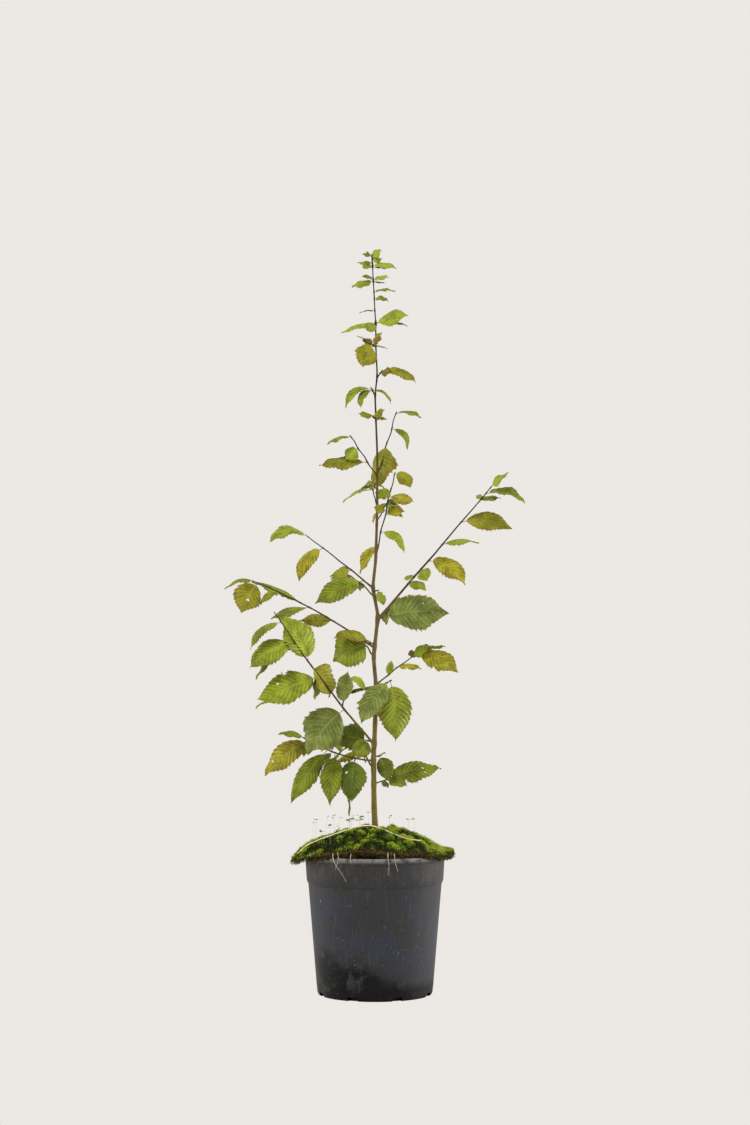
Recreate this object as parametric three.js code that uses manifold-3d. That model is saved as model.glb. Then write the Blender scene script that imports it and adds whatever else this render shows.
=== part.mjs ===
// Potted European hornbeam: a young tree of about 0.97 m in a round black nursery pot.
// Millimetres, +Z up, +X to the right and +Y away from the viewer, origin under the middle of the pot.
import * as THREE from "three";
import { mergeVertices } from "three/addons/utils/BufferGeometryUtils.js";
import Module from "manifold-3d";

const wasm = await Module();
wasm.setup();

// Driving dimensions of the pot
const potHeight = 180;
const rimRadius = 91;
const baseRadius = 73;
const wall = 2.4;
const floorThickness = 7;
const bandHeight = 36;
const bandStep = 2;
const lipHeight = 7;
const lipStep = 1;
const potSides = 40;
const notchCount = 8;
const notchWidth = 13;
const notchHeight = 5;
const notchReach = 9;

// Driving dimensions of what the pot holds
const clearance = 0.3;
const soilBelowRim = 6;
const soilTop = 196;
const mossTop = 217;
const mossEdge = 188;
const mossSides = 36;
const mossRings = [0, 0.3, 0.6, 0.8, 0.93, 1];
const mossLump = 2.2;
const mossHole = 2.2;
const mossSkirt = 0.9;
const mossInset = 1;
const mossEdgeDepth = 4;
const hangsFrom = 4;
const leftOverhang = 17;
const rightOverhang = 11;
const frontInset = 5;
const leftDroop = 16;

// Driving dimensions of the trunk: its line is [height, to the right, away] at each bend
const trunkFoot = soilTop + clearance;
const trunkTop = 872;
const leaderTip = 966;
const trunkSides = 8;
const tipRadius = 0.6;
const taperRadius = 3.1;
const taperPower = 1.3;
const flareRadius = 1.6;
const flareHeight = 18;
const trunkLine = [
  [196, 1, 0], [236, -1, 0], [300, -2, 1], [392, 2, 0], [434, -2, -1], [489, 4, 0], [526, -3, 1],
  [562, 1, 0], [635, 3, -1], [701, 3, 1], [781, 0, 0], [806, 3, 0], [847, 1, 1], [894, 1, 0],
  [925, 0, 0], [966, -4, 0],
];

// Driving dimensions of every shoot and leaf
const twigTipRadius = 0.7;
const twigKnots = 5;
const zigzag = 1.1;
const clearingPasses = 6;
const leafBreadth = 0.52;
const leafFold = 14;
const leafThickness = 1 / 40;
const thinnestLeaf = 0.8;
const petioleShare = 0.1;
const petioleRadius = 0.6;
const leafStations = [0.18, 0.48, 0.8];

// Each shoot leaves the trunk at the height node and ends at reach, [right, away, up] from there.
// bow is how far its middle stands above the straight line, bare the share of it that is a bare
// bough, and thick its diameter at the trunk.
// Each leaf is [share of the shoot, right, away, up, sag, face, breadth]: where it sits, its tip
// from its base in millimetres, how many degrees its midrib bends down, how many degrees its upper
// side turns from the sky to the viewer, and its width as a share of its length.
const shoots = [
  {
    name: "right_long", node: 485, reach: [146, -56, 168], bow: -1, bare: 0.18, thick: 3.4,
    leaves: [
      [0.27, 24, -16, -9, 35, 42, 0.5], [0.33, -14, 4, -3, 20, 55, 0.6],
      [0.39, 8, -10, -17, 20, 60, 0.8], [0.45, 48, -8, -32, 62, 58, 0.5],
      [0.57, 48, -10, 2, 40, 24, 0.42], [0.74, 66, 0, -9, 46, 55, 0.46],
      [0.9, 28, 6, 4, 30, 35, 0.46], [0.95, 50, -10, -13, 55, 30, 0.44],
      [1, 22, -10, 17, 25, 48, 0.62], [0.92, -8, 4, 3, 10, 50, 0.7],
    ],
  },
  {
    name: "right_broad_leaf", node: 486, reach: [7, 7, 1], bow: 0, bare: 0, thick: 1.8,
    leaves: [
      [1, 87, 8, 5, 30, 72, 0.62],
    ],
  },
  {
    name: "right_small", node: 398, reach: [56, 45, 43], bow: 2, bare: 0.2, thick: 2.2,
    leaves: [
      [0.27, 5, 0, 20, 10, 70, 0.5], [0.5, 33, -6, -2, 55, 34, 0.4],
      [0.94, 57, -10, -24, 48, 54, 0.54], [1, -14, -8, -3, 20, 52, 0.6],
      [0.86, 23, -10, 16, 25, 60, 0.6], [1, 37, 8, 9, 25, 22, 0.4],
    ],
  },
  {
    name: "right_low", node: 270, reach: [17, 12, 5], bow: 0, bare: 0, thick: 1.8,
    leaves: [
      [1, 72, 10, 14, 32, 60, 0.46], [1, 27, -14, -8, 15, 50, 0.5], [0.6, 9, -8, -8, 20, 30],
    ],
  },
  {
    name: "right_shaded", node: 305, reach: [7, 5, 1], bow: 0, bare: 0, thick: 1.6,
    leaves: [
      [1, 12, -8, -33, 30, 66, 0.7], [0.9, 10, -6, 4, 20, 20],
    ],
  },
  {
    name: "front", node: 395, reach: [18, -26, 9], bow: 0, bare: 0, thick: 2,
    leaves: [
      [1, 6, -8, -78, 30, 30, 0.62], [1, -38, -34, -56, 30, 46, 0.44],
      [0.35, -44, -6, -11, 10, 14, 0.3],
    ],
  },
  {
    name: "left_middle", node: 452, reach: [-8, -6, 2], bow: 0, bare: 0, thick: 1.8,
    leaves: [
      [1, -46, -16, 5, 80, 42, 0.46], [1, -47, 2, -25, 15, 72, 0.96],
    ],
  },
  {
    name: "left_high", node: 526, reach: [-87, 50, 71], bow: 1, bare: 0.1, thick: 2.4,
    leaves: [
      [0.13, -64, -14, -32, 25, 58, 0.46], [0.33, -27, 14, -15, 30, 62, 0.66],
      [0.76, -32, -8, -46, 64, 62, 0.36], [1, -51, -8, -8, 84, 32, 0.46],
    ],
  },
  {
    name: "left_long", node: 447, reach: [-156, -40, 85], bow: 6, bare: 0.33, thick: 2.6,
    leaves: [
      [0.34, -45, 10, 1, 25, 62, 0.48], [0.54, -50, -14, -16, 35, 28, 0.38],
      [0.62, -64, 14, 28, 30, 14, 0.34], [0.79, -24, -12, -17, 50, 24, 0.4],
      [0.97, -20, -14, -40, 30, 60, 0.84], [1, -38, 8, -10, 60, 24, 0.4],
    ],
  },
  {
    name: "left_low", node: 321, reach: [-127, -78, 170], bow: -6, bare: 0.26, thick: 3.2,
    leaves: [
      [0.3, -48, -8, -58, 30, 72, 0.8], [0.58, -2, 10, -34, 20, 66, 0.86],
      [0.55, -84, 14, -40, 20, 12, 0.26], [0.56, -80, -14, -31, 2, 70, 0.5],
      [0.63, 23, 14, -40, 28, 70, 0.96], [0.66, -38, -8, 58, 46, 68, 0.66],
      [0.8, -57, -12, -34, 45, 62, 0.54], [0.93, -39, -6, -35, 85, 32, 0.32],
    ],
    sides: [
      {
        at: 0.32, reach: [7, 8, 36], bow: 0,
        leaves: [
          [0.1, 7, 0, 43, 10, 74, 0.56], [1, 21, -6, -15, 100, 38, 0.42],
        ],
      },
      {
        at: 0.72, reach: [-17, -4, 5], bow: 2,
        leaves: [
          [1, -43, 6, -38, 30, 24, 0.34],
        ],
      },
    ],
  },
  {
    name: "left_shaded", node: 324, reach: [-9, 7, 2], bow: 0, bare: 0, thick: 1.8,
    leaves: [
      [1, -44, 12, 2, 30, 62, 0.66], [0.8, -14, -8, -24, 50, 56, 0.6],
    ],
  },
  {
    name: "left_lowest", node: 300, reach: [-91, 22, 29], bow: -6, bare: 0.2, thick: 2.2,
    leaves: [
      [0.27, -4, -16, -57, 40, 8, 0.64], [0.26, -8, 14, -76, 20, 50, 0.26],
      [0.55, -6, -24, -68, 30, 10, 0.42], [0.6, -8, 6, -34, 30, 62, 0.76],
      [0.66, -48, -18, -70, 24, 58, 0.36], [0.93, -59, 8, -46, 28, 64, 0.5],
      [0.96, -4, -14, -22, 12, 10, 0.6], [1, -35, -6, 5, 50, 40, 0.38],
    ],
  },
  {
    name: "upper_left", node: 672, reach: [-34, -28, 49], bow: 0, bare: 0, thick: 1.8,
    leaves: [
      [0.36, -64, -8, -5, 25, 42, 0.44], [0.7, -18, 4, -13, 20, 70, 0.92],
      [1, -32, 6, -9, 60, 24, 0.42],
    ],
  },
  {
    name: "upper_right", node: 671, reach: [25, 38, 90], bow: 0, bare: 0, thick: 1.8,
    leaves: [
      [0.52, -12, -9, -60, 30, 6, 0.78], [0.76, 20, -6, -29, 90, 28, 0.38],
      [1, 34, -8, -7, 50, 22, 0.4],
    ],
  },
  {
    name: "upright", node: 569, reach: [24, -34, 103], bow: 0, bare: 0.18, thick: 1.9,
    leaves: [
      [0.28, 30, -6, -27, 100, 36, 0.42], [0.72, 33, -12, -8, 25, 54, 0.56],
      [0.55, -17, -8, 3, 20, 60, 0.66], [0.66, 30, 8, -1, 20, 38, 0.42],
      [0.5, 25, -6, 4, 20, 60, 0.62], [0.8, -16, -8, -12, 20, 56, 0.7],
      [1, 21, -8, -19, 66, 52, 0.62],
    ],
  },
  {
    name: "left_tiny", node: 632, reach: [-6, -9, 22], bow: 0, bare: 0, thick: 1.5,
    leaves: [
      [1, -39, 8, -16, 45, 18, 0.34],
    ],
  },
  {
    name: "back_middle", node: 580, reach: [2, 11, 3], bow: 0, bare: 0, thick: 1.6,
    leaves: [
      [1, -23, 8, -38, 25, 62, 0.46],
    ],
  },
  {
    name: "right_tiny", node: 521, reach: [5, -6, 1], bow: 0, bare: 0, thick: 1.5,
    leaves: [
      [1, 9, -4, -20, 15, 56, 0.5],
    ],
  },
  {
    name: "high_first", node: 748, reach: [-4, -6, 3], bow: 0, bare: 0, thick: 1.4,
    leaves: [
      [1, -19, -6, 3, 15, 52, 0.5], [0.9, 15, -6, 9, 15, 60, 0.66], [0.6, 17, -2, -2, 10, 42, 0.46],
    ],
  },
  {
    name: "high_second", node: 779, reach: [-4, -6, 8], bow: 0, bare: 0, thick: 1.4,
    leaves: [
      [1, -34, -4, -26, 95, 36, 0.36], [0.8, -15, -10, -25, 115, 26, 0.36],
      [0.8, 24, -3, -18, 80, 22, 0.3],
    ],
  },
  {
    name: "high_right", node: 803, reach: [5, -4, 7], bow: 0, bare: 0, thick: 1.5,
    leaves: [
      [1, 46, -8, -15, 62, 42, 0.4], [0.9, 14, -8, 2, 12, 54, 0.78],
    ],
  },
  {
    name: "high_third", node: 845, reach: [-4, -6, 1], bow: 0, bare: 0, thick: 1.4,
    leaves: [
      [1, -13, -12, -32, 30, 62, 0.86], [0.8, -15, -4, 7, 20, 60, 0.72],
      [0.8, 8, -8, 8, 20, 62, 0.9], [0.6, 10, -5, 17, 20, 60, 0.7], [1, -21, -2, 12, 20, 14, 0.3],
      [0.6, 18, -4, -5, 30, 18, 0.3],
    ],
  },
  {
    name: "back_lowest", node: 290, reach: [-38, 92, 34], bow: 6, bare: 0.22, thick: 2.4,
    grown: 6, longest: 54,
  },
  {
    name: "back_low", node: 350, reach: [4, 96, 30], bow: 8, bare: 0.22, thick: 2.4,
    grown: 6, longest: 46,
  },
  {
    name: "back_left", node: 436, reach: [-30, 88, 26], bow: 6, bare: 0.22, thick: 2.2,
    grown: 5, longest: 44,
  },
  {
    name: "back_right", node: 480, reach: [44, 88, 38], bow: 6, bare: 0.22, thick: 2.2,
    grown: 5, longest: 44,
  },
  {
    name: "back_upper", node: 514, reach: [-46, 76, 38], bow: 4, bare: 0.2, thick: 2,
    grown: 5, longest: 34,
  },
  {
    name: "back_high", node: 610, reach: [18, 66, 38], bow: 4, bare: 0.2, thick: 1.8,
    grown: 5, longest: 34,
  },
  {
    name: "back_highest", node: 648, reach: [-6, 54, 24], bow: 2, bare: 0.2, thick: 1.6,
    grown: 4, longest: 30,
  },
];

// The leader carries on from the top of the trunk, with leaves all the way to its tip.
const leaderLeaves = [
  [0.03, 43, -12, 10, 35, 62, 0.56], [0.05, 43, 8, -3, 30, 14, 0.34],
  [0.03, -45, -5, -13, 45, 25, 0.38], [0.04, -12, -10, -12, 20, 55, 0.7],
  [0.22, -21, 5, -2, 30, 18, 0.34], [0.39, 19, -5, -4, 20, 40, 0.5], [0.48, 29, 5, 2, 40, 25, 0.4],
  [0.64, -29, -6, -9, 25, 45, 0.48], [0.68, -15, -8, 1, 20, 50, 0.5],
  [0.66, 21, -8, 2, 20, 45, 0.46], [0.63, 16, 7, 0, 10, 25, 0.4], [0.86, 32, -6, -5, 35, 42, 0.4],
  [0.84, 18, 8, -1, 15, 22, 0.36], [0.9, -20, 5, 1, 15, 36, 0.46], [0.86, -14, -7, -4, 10, 48, 0.6],
  [1, 13, -7, 6, 10, 62, 0.9], [0.95, 13, 4, 2, 10, 58, 0.8], [1, -13, -5, 1, 15, 50, 0.6],
];

// Finishes
const potPlastic = new THREE.MeshStandardMaterial({ color: 0x3c3c40, roughness: 0.62, metalness: 0 });
const darkSoil = new THREE.MeshStandardMaterial({ color: 0x2a1d13, roughness: 0.95, metalness: 0 });
const greenMoss = new THREE.MeshStandardMaterial({ color: 0x4f6b1c, roughness: 0.95, metalness: 0 });
const bark = new THREE.MeshStandardMaterial({ color: 0x6a5a3a, roughness: 0.8, metalness: 0 });
const foliage = new THREE.MeshStandardMaterial({ color: 0x7a8c1e, roughness: 0.6, metalness: 0 });

const radians = THREE.MathUtils.degToRad;
const vector = (list) => new THREE.Vector3(...list);

// A repeatable chance between 0 and 1, from a linear congruential rule with a seed of its own.
function chances(seed) {
  let state = seed >>> 0;
  return () => {
    state = (Math.imul(state, 1664525) + 1013904223) >>> 0;
    return state / 2 ** 32;
  };
}

function solidOf(geometry) {
  const bare = geometry.clone();
  bare.deleteAttribute("normal");
  bare.deleteAttribute("uv");
  const merged = mergeVertices(bare, 1e-4);
  return new wasm.Manifold(
    new wasm.Mesh({
      numProp: 3,
      vertProperties: new Float32Array(merged.attributes.position.array),
      triVerts: new Uint32Array(merged.index.array),
    }),
  );
}

function geometryOf(solid) {
  const mesh = solid.getMesh();
  const geometry = new THREE.BufferGeometry();
  geometry.setAttribute("position", new THREE.BufferAttribute(new Float32Array(mesh.vertProperties), 3));
  geometry.setIndex(new THREE.BufferAttribute(new Uint32Array(mesh.triVerts), 1));
  geometry.computeVertexNormals();
  return geometry;
}

function named(name, geometry, material) {
  const mesh = new THREE.Mesh(geometry, material);
  mesh.name = name;
  return mesh;
}

function closedGeometry(corners, faces) {
  const geometry = new THREE.BufferGeometry();
  const numbers = corners.flatMap((corner) => corner.toArray());
  geometry.setAttribute("position", new THREE.Float32BufferAttribute(numbers, 3));
  geometry.setIndex(faces.flat());
  return geometry;
}

// A tapering limb: a ring of sides round each centre, joined ring to ring and capped at both ends.
function limb(centres, radii, sides) {
  const whole = centres.at(-1).clone().sub(centres[0]);
  const steep = Math.abs(whole.z) > 0.8 * whole.length();
  const across = steep ? new THREE.Vector3(1, 0, 0) : new THREE.Vector3(0, 0, 1);
  const corners = [];
  centres.forEach((centre, i) => {
    const before = centres[Math.max(i - 1, 0)];
    const after = centres[Math.min(i + 1, centres.length - 1)];
    const ahead = after.clone().sub(before).normalize();
    const first = across.clone().cross(ahead).normalize();
    const second = ahead.clone().cross(first);
    for (let k = 0; k < sides; k++) {
      const turn = (2 * Math.PI * k) / sides;
      const corner = centre.clone().addScaledVector(first, radii[i] * Math.cos(turn));
      corners.push(corner.addScaledVector(second, radii[i] * Math.sin(turn)));
    }
  });
  const faces = [];
  for (let i = 0; i + 1 < centres.length; i++)
    for (let k = 0; k < sides; k++) {
      const a = i * sides + k;
      const b = i * sides + ((k + 1) % sides);
      faces.push([a, b, b + sides], [a, b + sides, a + sides]);
    }
  const last = (centres.length - 1) * sides;
  for (let k = 1; k + 1 < sides; k++) faces.push([0, k + 1, k], [last, last + k, last + k + 1]);
  return closedGeometry(corners, faces);
}

// The middle of the trunk at a height, on straight stretches between its bends.
function trunkAt(height) {
  const next = Math.max(1, trunkLine.findIndex(([z]) => z >= height));
  const [low, high] = [trunkLine[next - 1], trunkLine[next]];
  const share = (height - low[0]) / (high[0] - low[0]);
  return new THREE.Vector3(
    THREE.MathUtils.lerp(low[1], high[1], share),
    THREE.MathUtils.lerp(low[2], high[2], share),
    height,
  );
}

// The trunk thins by a power law to its tip and flares out at its foot.
function trunkRadius(height) {
  const share = (height - trunkFoot) / (leaderTip - trunkFoot);
  const taper = taperRadius * (1 - Math.min(share, 1)) ** taperPower;
  return tipRadius + taper + flareRadius * Math.exp((trunkFoot - height) / flareHeight);
}

function trunkSolid() {
  const bends = trunkLine.map(([z]) => z).filter((z) => z > trunkFoot + 4 && z < trunkTop - 4);
  const flares = [trunkFoot, trunkFoot + 8, trunkFoot + 18];
  const heights = [...flares, ...bends, trunkTop].sort((a, b) => a - b);
  return limb(heights.map(trunkAt), heights.map(trunkRadius), trunkSides);
}

// A wave that runs straight from side to side, nothing at 0 and full at one half.
const sideToSide = (x) => 1 - 4 * Math.abs(((((x / 2 + 0.25) % 1) + 1) % 1) - 0.5);

// A point of a shoot: a straight reach, arched by its bow, that turns a little at each of its knots.
function along(foot, shoot, share) {
  const reach = vector(shoot.reach);
  const swing = new THREE.Vector3(0, 0, 1).cross(reach).normalize();
  const size = Math.min(zigzag, reach.length() / 60);
  return foot
    .clone()
    .addScaledVector(reach, share)
    .add(new THREE.Vector3(0, 0, 4 * shoot.bow * share * (1 - share)))
    .addScaledVector(swing, size * sideToSide(share * twigKnots));
}

function stretch(foot, shoot, from, to, sides) {
  const knots = Array.from({ length: twigKnots }, (_, k) => (k + 0.5) / twigKnots);
  const shares = [from, ...knots.filter((s) => s > from + 0.03 && s < to - 0.03), to];
  const radii = shares.map((s) => THREE.MathUtils.lerp(shoot.thick / 2, twigTipRadius, s));
  return limb(shares.map((s) => along(foot, shoot, s)), radii, sides);
}

// The share of the shoot at which the inner edge of its foot comes clear of the trunk's bark. Each
// pass moves the foot out by what its gap to the bark still lacks.
function clearOfTrunk(foot, shoot) {
  const reach = vector(shoot.reach);
  const level = Math.hypot(reach.x, reach.y);
  const inward = new THREE.Vector3(-reach.x, -reach.y, 0).divideScalar(level);
  const toEdge = inward.multiplyScalar(Math.abs(reach.z)).setZ(level * Math.sign(reach.z || 1));
  toEdge.multiplyScalar(shoot.thick / 2 / reach.length());
  let share = trunkRadius(shoot.node) / level;
  for (let pass = 0; pass < clearingPasses; pass++) {
    const edge = along(foot, shoot, share).add(toEdge);
    const middle = trunkAt(edge.z);
    const gap = Math.hypot(edge.x - middle.x, edge.y - middle.y) - trunkRadius(edge.z);
    share += (clearance - gap) / level;
  }
  return share;
}

// The midrib of a leaf is an arc: its heading stays and its pitch turns down evenly by its sag.
function midrib(base, [, right, away, up, sag]) {
  const heading = Math.atan2(away, right);
  const chord = Math.hypot(right, away, up);
  const bend = radians(sag);
  const pitch = (share) => Math.atan2(up, Math.hypot(right, away)) + bend * (0.5 - share);
  const length = (chord * (bend / 2)) / Math.sin(bend / 2);
  const forward = new THREE.Vector3(Math.cos(heading), Math.sin(heading), 0);
  const at = (share) =>
    base
      .clone()
      .addScaledVector(forward, (length * (Math.sin(pitch(0)) - Math.sin(pitch(share)))) / bend)
      .add(new THREE.Vector3(0, 0, (length * (Math.cos(pitch(share)) - Math.cos(pitch(0)))) / bend));
  const inPlane = (level, up) => forward.clone().multiplyScalar(level).setZ(up);
  const ahead = (share) => inPlane(Math.cos(pitch(share)), Math.sin(pitch(share)));
  const upper = (share) => inPlane(-Math.sin(pitch(share)), Math.cos(pitch(share)));
  const viewerSide = new THREE.Vector3(Math.sin(heading), -Math.cos(heading), 0).multiplyScalar(
    Math.cos(heading) >= 0 ? 1 : -1,
  );
  return { length, at, ahead, upper, viewerSide };
}

// The outline of a hornbeam leaf: rounded at its base, widest before the middle, drawn out to a tip.
const outline = (share) => Math.sin(Math.PI * share ** 0.8) ** 0.75;

// A leaf is one four-cornered limb: left edge, upper rib, right edge and lower rib. It starts as a
// slim petiole, widens into a blade that is folded up along its midrib, and ends in a point.
function leafSolid(base, row) {
  const rib = midrib(base, row);
  const face = radians(row[5]);
  const half = ((row[6] ?? leafBreadth) * rib.length * (1 - petioleShare)) / 2;
  const thick = Math.max(thinnestLeaf, rib.length * leafThickness);
  const stalk = Math.min(petioleRadius, thick * 0.6);
  const corners = [];
  const ring = (share, width, rise) => {
    const middle = rib.at(share);
    const normal = rib.upper(share).multiplyScalar(Math.cos(face));
    normal.addScaledVector(rib.viewerSide, Math.sin(face));
    const across = rib.ahead(share).cross(normal);
    const fold = radians(leafFold);
    for (const side of [-1, 1]) {
      const edge = middle.clone().addScaledVector(across, side * width * Math.cos(fold));
      corners.push(edge.addScaledVector(normal, width * Math.sin(fold)));
      corners.push(middle.clone().addScaledVector(normal, -side * rise));
    }
  };
  ring(0, stalk, stalk);
  ring(petioleShare, stalk, stalk);
  for (const station of leafStations) {
    const share = petioleShare + (1 - petioleShare) * station;
    ring(share, half * outline(station), (thick / 2) * outline(station));
  }
  corners.push(rib.at(1));
  const tip = corners.length - 1;
  const faces = [[0, 3, 2], [0, 2, 1]];
  for (let k = 0; k < 4; k++) {
    const next = (k + 1) % 4;
    faces.push([tip, tip - 4 + k, tip - 4 + next]);
    for (let i = 0; i < leafStations.length + 1; i++) {
      const [a, b] = [4 * i + k, 4 * i + next];
      faces.push([a, b + 4, a + 4], [a, b, b + 4]);
    }
  }
  return solidOf(closedGeometry(corners, faces));
}

// Where nothing is seen from the front, leaves follow a rule: they alternate from side to side,
// shorter to the shoot's tip, and each droops and turns by its own chance.
function grownLeaves(shoot) {
  const chance = chances(shoot.node);
  const heading = Math.atan2(shoot.reach[1], shoot.reach[0]);
  return Array.from({ length: shoot.grown }, (_, i) => {
    const share = shoot.bare + 0.08 + ((0.92 - shoot.bare) * (i + 1)) / shoot.grown;
    const side = i % 2 ? -1 : 1;
    const last = i + 1 === shoot.grown;
    const turn = heading + side * (last ? 0.1 : radians(32 + 14 * chance()));
    const pitch = radians(-4 - 34 * chance());
    const length = shoot.longest * (1 - 0.3 * (i / shoot.grown)) * (0.85 + 0.3 * chance());
    const level = length * Math.cos(pitch);
    const row = [level * Math.cos(turn), level * Math.sin(turn), length * Math.sin(pitch)];
    return [Math.min(share, 1), ...row, 30 + 40 * chance(), 10 + 30 * chance(), 0.46 + 0.1 * chance()];
  });
}

// One mass: its stem, the side twigs that leave it, and their leaves, fused into one solid.
function massSolid(foot, shoot, from) {
  let mass = solidOf(stretch(foot, shoot, from, 1, 3));
  const rows = shoot.leaves ?? grownLeaves(shoot);
  for (const row of rows) mass = mass.add(leafSolid(along(foot, shoot, row[0]), row));
  for (const side of shoot.sides ?? []) {
    const twig = { ...side, thick: 2 * twigTipRadius };
    const root = along(foot, shoot, side.at);
    mass = mass.add(solidOf(stretch(root, twig, 0, 1, 3)));
    for (const row of side.leaves) mass = mass.add(leafSolid(along(root, twig, row[0]), row));
  }
  return mass;
}

function shootMeshes(shoot) {
  const foot = trunkAt(shoot.node);
  const start = clearOfTrunk(foot, shoot);
  const length = vector(shoot.reach).length();
  const from = shoot.bare ? shoot.bare + clearance / length : start;
  const mass = named("leaves_" + shoot.name, geometryOf(massSolid(foot, shoot, from)), foliage);
  if (!shoot.bare) return [mass];
  return [named("bough_" + shoot.name, stretch(foot, shoot, start, shoot.bare, 6), bark), mass];
}

function leaderMesh() {
  const foot = trunkAt(trunkTop);
  const reach = trunkAt(leaderTip).sub(foot).toArray();
  const leader = { reach, bow: 0, thick: 2 * trunkRadius(trunkTop), leaves: leaderLeaves };
  const mass = massSolid(foot, leader, clearance / (leaderTip - trunkTop));
  return named("leaves_leader", geometryOf(mass), foliage);
}

// The pot's outside: a foot, a wall that widens upwards, a stepped band below a rolled lip.
function potProfile() {
  const bandFoot = potHeight - bandHeight;
  const lipFoot = potHeight - lipHeight;
  const under = rimRadius - lipStep;
  return [
    [0, 0], [baseRadius, 0], [baseRadius + 1.5, 3], [baseRadius + 2.5, 11],
    [under - bandStep - 1.6, bandFoot - 2],
    [under - bandStep - 1.2, bandFoot], [under - 1.4, bandFoot + 1.5], [under, lipFoot - 1],
    [rimRadius, lipFoot],
    [rimRadius, potHeight - 1], [rimRadius - 1, potHeight], [rimRadius - wall - 0.6, potHeight],
    [rimRadius - wall - 1, potHeight - 2], [baseRadius - wall + 2.6, floorThickness], [0, floorThickness],
  ];
}

function lathe(profile, sides) {
  return new THREE.LatheGeometry(profile.map(([r, z]) => new THREE.Vector2(r, z)), sides);
}

function upright(geometry) {
  return geometry.rotateX(Math.PI / 2);
}

function potMesh() {
  let pot = solidOf(upright(lathe(potProfile(), potSides)));
  for (let k = 0; k < notchCount; k++) {
    const notch = new THREE.BoxGeometry(notchReach, notchWidth, 2 * notchHeight);
    notch.translate(baseRadius, 0, 0).rotateZ((2 * Math.PI * (k + 0.5)) / notchCount);
    pot = pot.subtract(solidOf(notch));
  }
  return named("pot", geometryOf(pot), potPlastic);
}

// The soil's top falls evenly from the foot of the trunk to its edge below the rim.
const soilEdge = potHeight - soilBelowRim;
const soilRadius = rimRadius - wall - 1 - clearance;
const soilHeight = (radius) => soilTop - (soilTop - soilEdge) * Math.min(radius / soilRadius, 1.2) ** 1.6;

function soilMesh() {
  const slope = (rimRadius - baseRadius - 3.6) / (potHeight - 2 - floorThickness);
  const bottomRadius = baseRadius - wall + 2.6 - clearance;
  const topRadius = bottomRadius + slope * (soilEdge - floorThickness) - 0.4;
  const rings = [0.75, 0.5, 0.25].map((share) => [share * topRadius, soilHeight(share * topRadius)]);
  const profile = [
    [0, floorThickness + clearance], [bottomRadius - 0.4, floorThickness + clearance],
    [topRadius, soilEdge - 0.6], ...rings, [0, soilTop],
  ];
  return named("soil", upright(lathe(profile, potSides / 2)), darkSoil);
}

// The moss is a lumpy blanket over the soil: it hangs over the rim at the left and right, stops short
// of it at the front, and leaves a hole for the trunk.
function mossMesh() {
  const chance = chances(7);
  const wave = () => [2 + Math.floor(5 * chance()), 2 * Math.PI * chance(), 0.4 + chance()];
  const waves = Array.from({ length: 5 }, wave);
  const lump = (turn, radius) => {
    const parts = waves.map(([count, phase, size]) => size * Math.sin(count * turn + phase + radius / 14));
    return parts.reduce((sum, part) => sum + part, 0) / 3;
  };
  const hole = trunkRadius(trunkFoot) + mossHole;
  const skirt = rimRadius + mossSkirt;
  const seat = potHeight + 2 * clearance;
  const corners = [];
  for (let k = 0; k < mossSides; k++) {
    const turn = (2 * Math.PI * k) / mossSides;
    const left = Math.max(0, -Math.cos(turn)) ** 3;
    const right = Math.max(0, Math.cos(turn)) ** 3;
    const front = Math.max(0, -Math.sin(turn)) ** 2;
    const edge = rimRadius + left * leftOverhang + right * rightOverhang - front * frontInset - mossInset;
    const beyond = Math.max(0, edge - skirt);
    const top = (radius) => {
      const fall = (mossTop - mossEdge) * Math.min(radius / rimRadius, 1) ** 2.2;
      const droop = left * leftDroop * Math.max(0, (radius - rimRadius) / leftOverhang);
      return mossTop - fall - droop + mossLump * lump(turn, radius);
    };
    const place = (radius, height) =>
      new THREE.Vector3(radius * Math.cos(turn), radius * Math.sin(turn), height);
    for (const share of mossRings) {
      const radius = hole + (edge - hole) * share;
      corners.push(place(radius, Math.max(top(radius), seat + 2 - left * leftDroop)));
    }
    const low = beyond > hangsFrom ? Math.min(seat, top(edge) - mossEdgeDepth) : seat;
    const outside = Math.min(edge - 2, skirt);
    corners.push(place(edge - 1, low), place(outside, low), place(outside, seat));
    corners.push(place(Math.min(edge - 3, soilRadius - 1), seat));
    for (const radius of [Math.min(edge - 4, soilRadius - 5), hole + 30, hole])
      corners.push(place(radius, soilHeight(radius) + 4 * clearance));
  }
  const ring = mossRings.length + 7;
  const faces = [];
  for (let k = 0; k < mossSides; k++)
    for (let i = 0; i < ring; i++) {
      const next = (k + 1) % mossSides;
      const [a, b] = [k * ring + i, k * ring + ((i + 1) % ring)];
      const [c, d] = [next * ring + i, next * ring + ((i + 1) % ring)];
      faces.push([a, b, d], [a, d, c]);
    }
  return named("moss", closedGeometry(corners, faces), greenMoss);
}

const group = new THREE.Group();
group.add(potMesh(), soilMesh(), mossMesh(), named("trunk", trunkSolid(), bark));
for (const shoot of shoots) group.add(...shootMeshes(shoot));
group.add(leaderMesh());

export default group;
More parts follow.
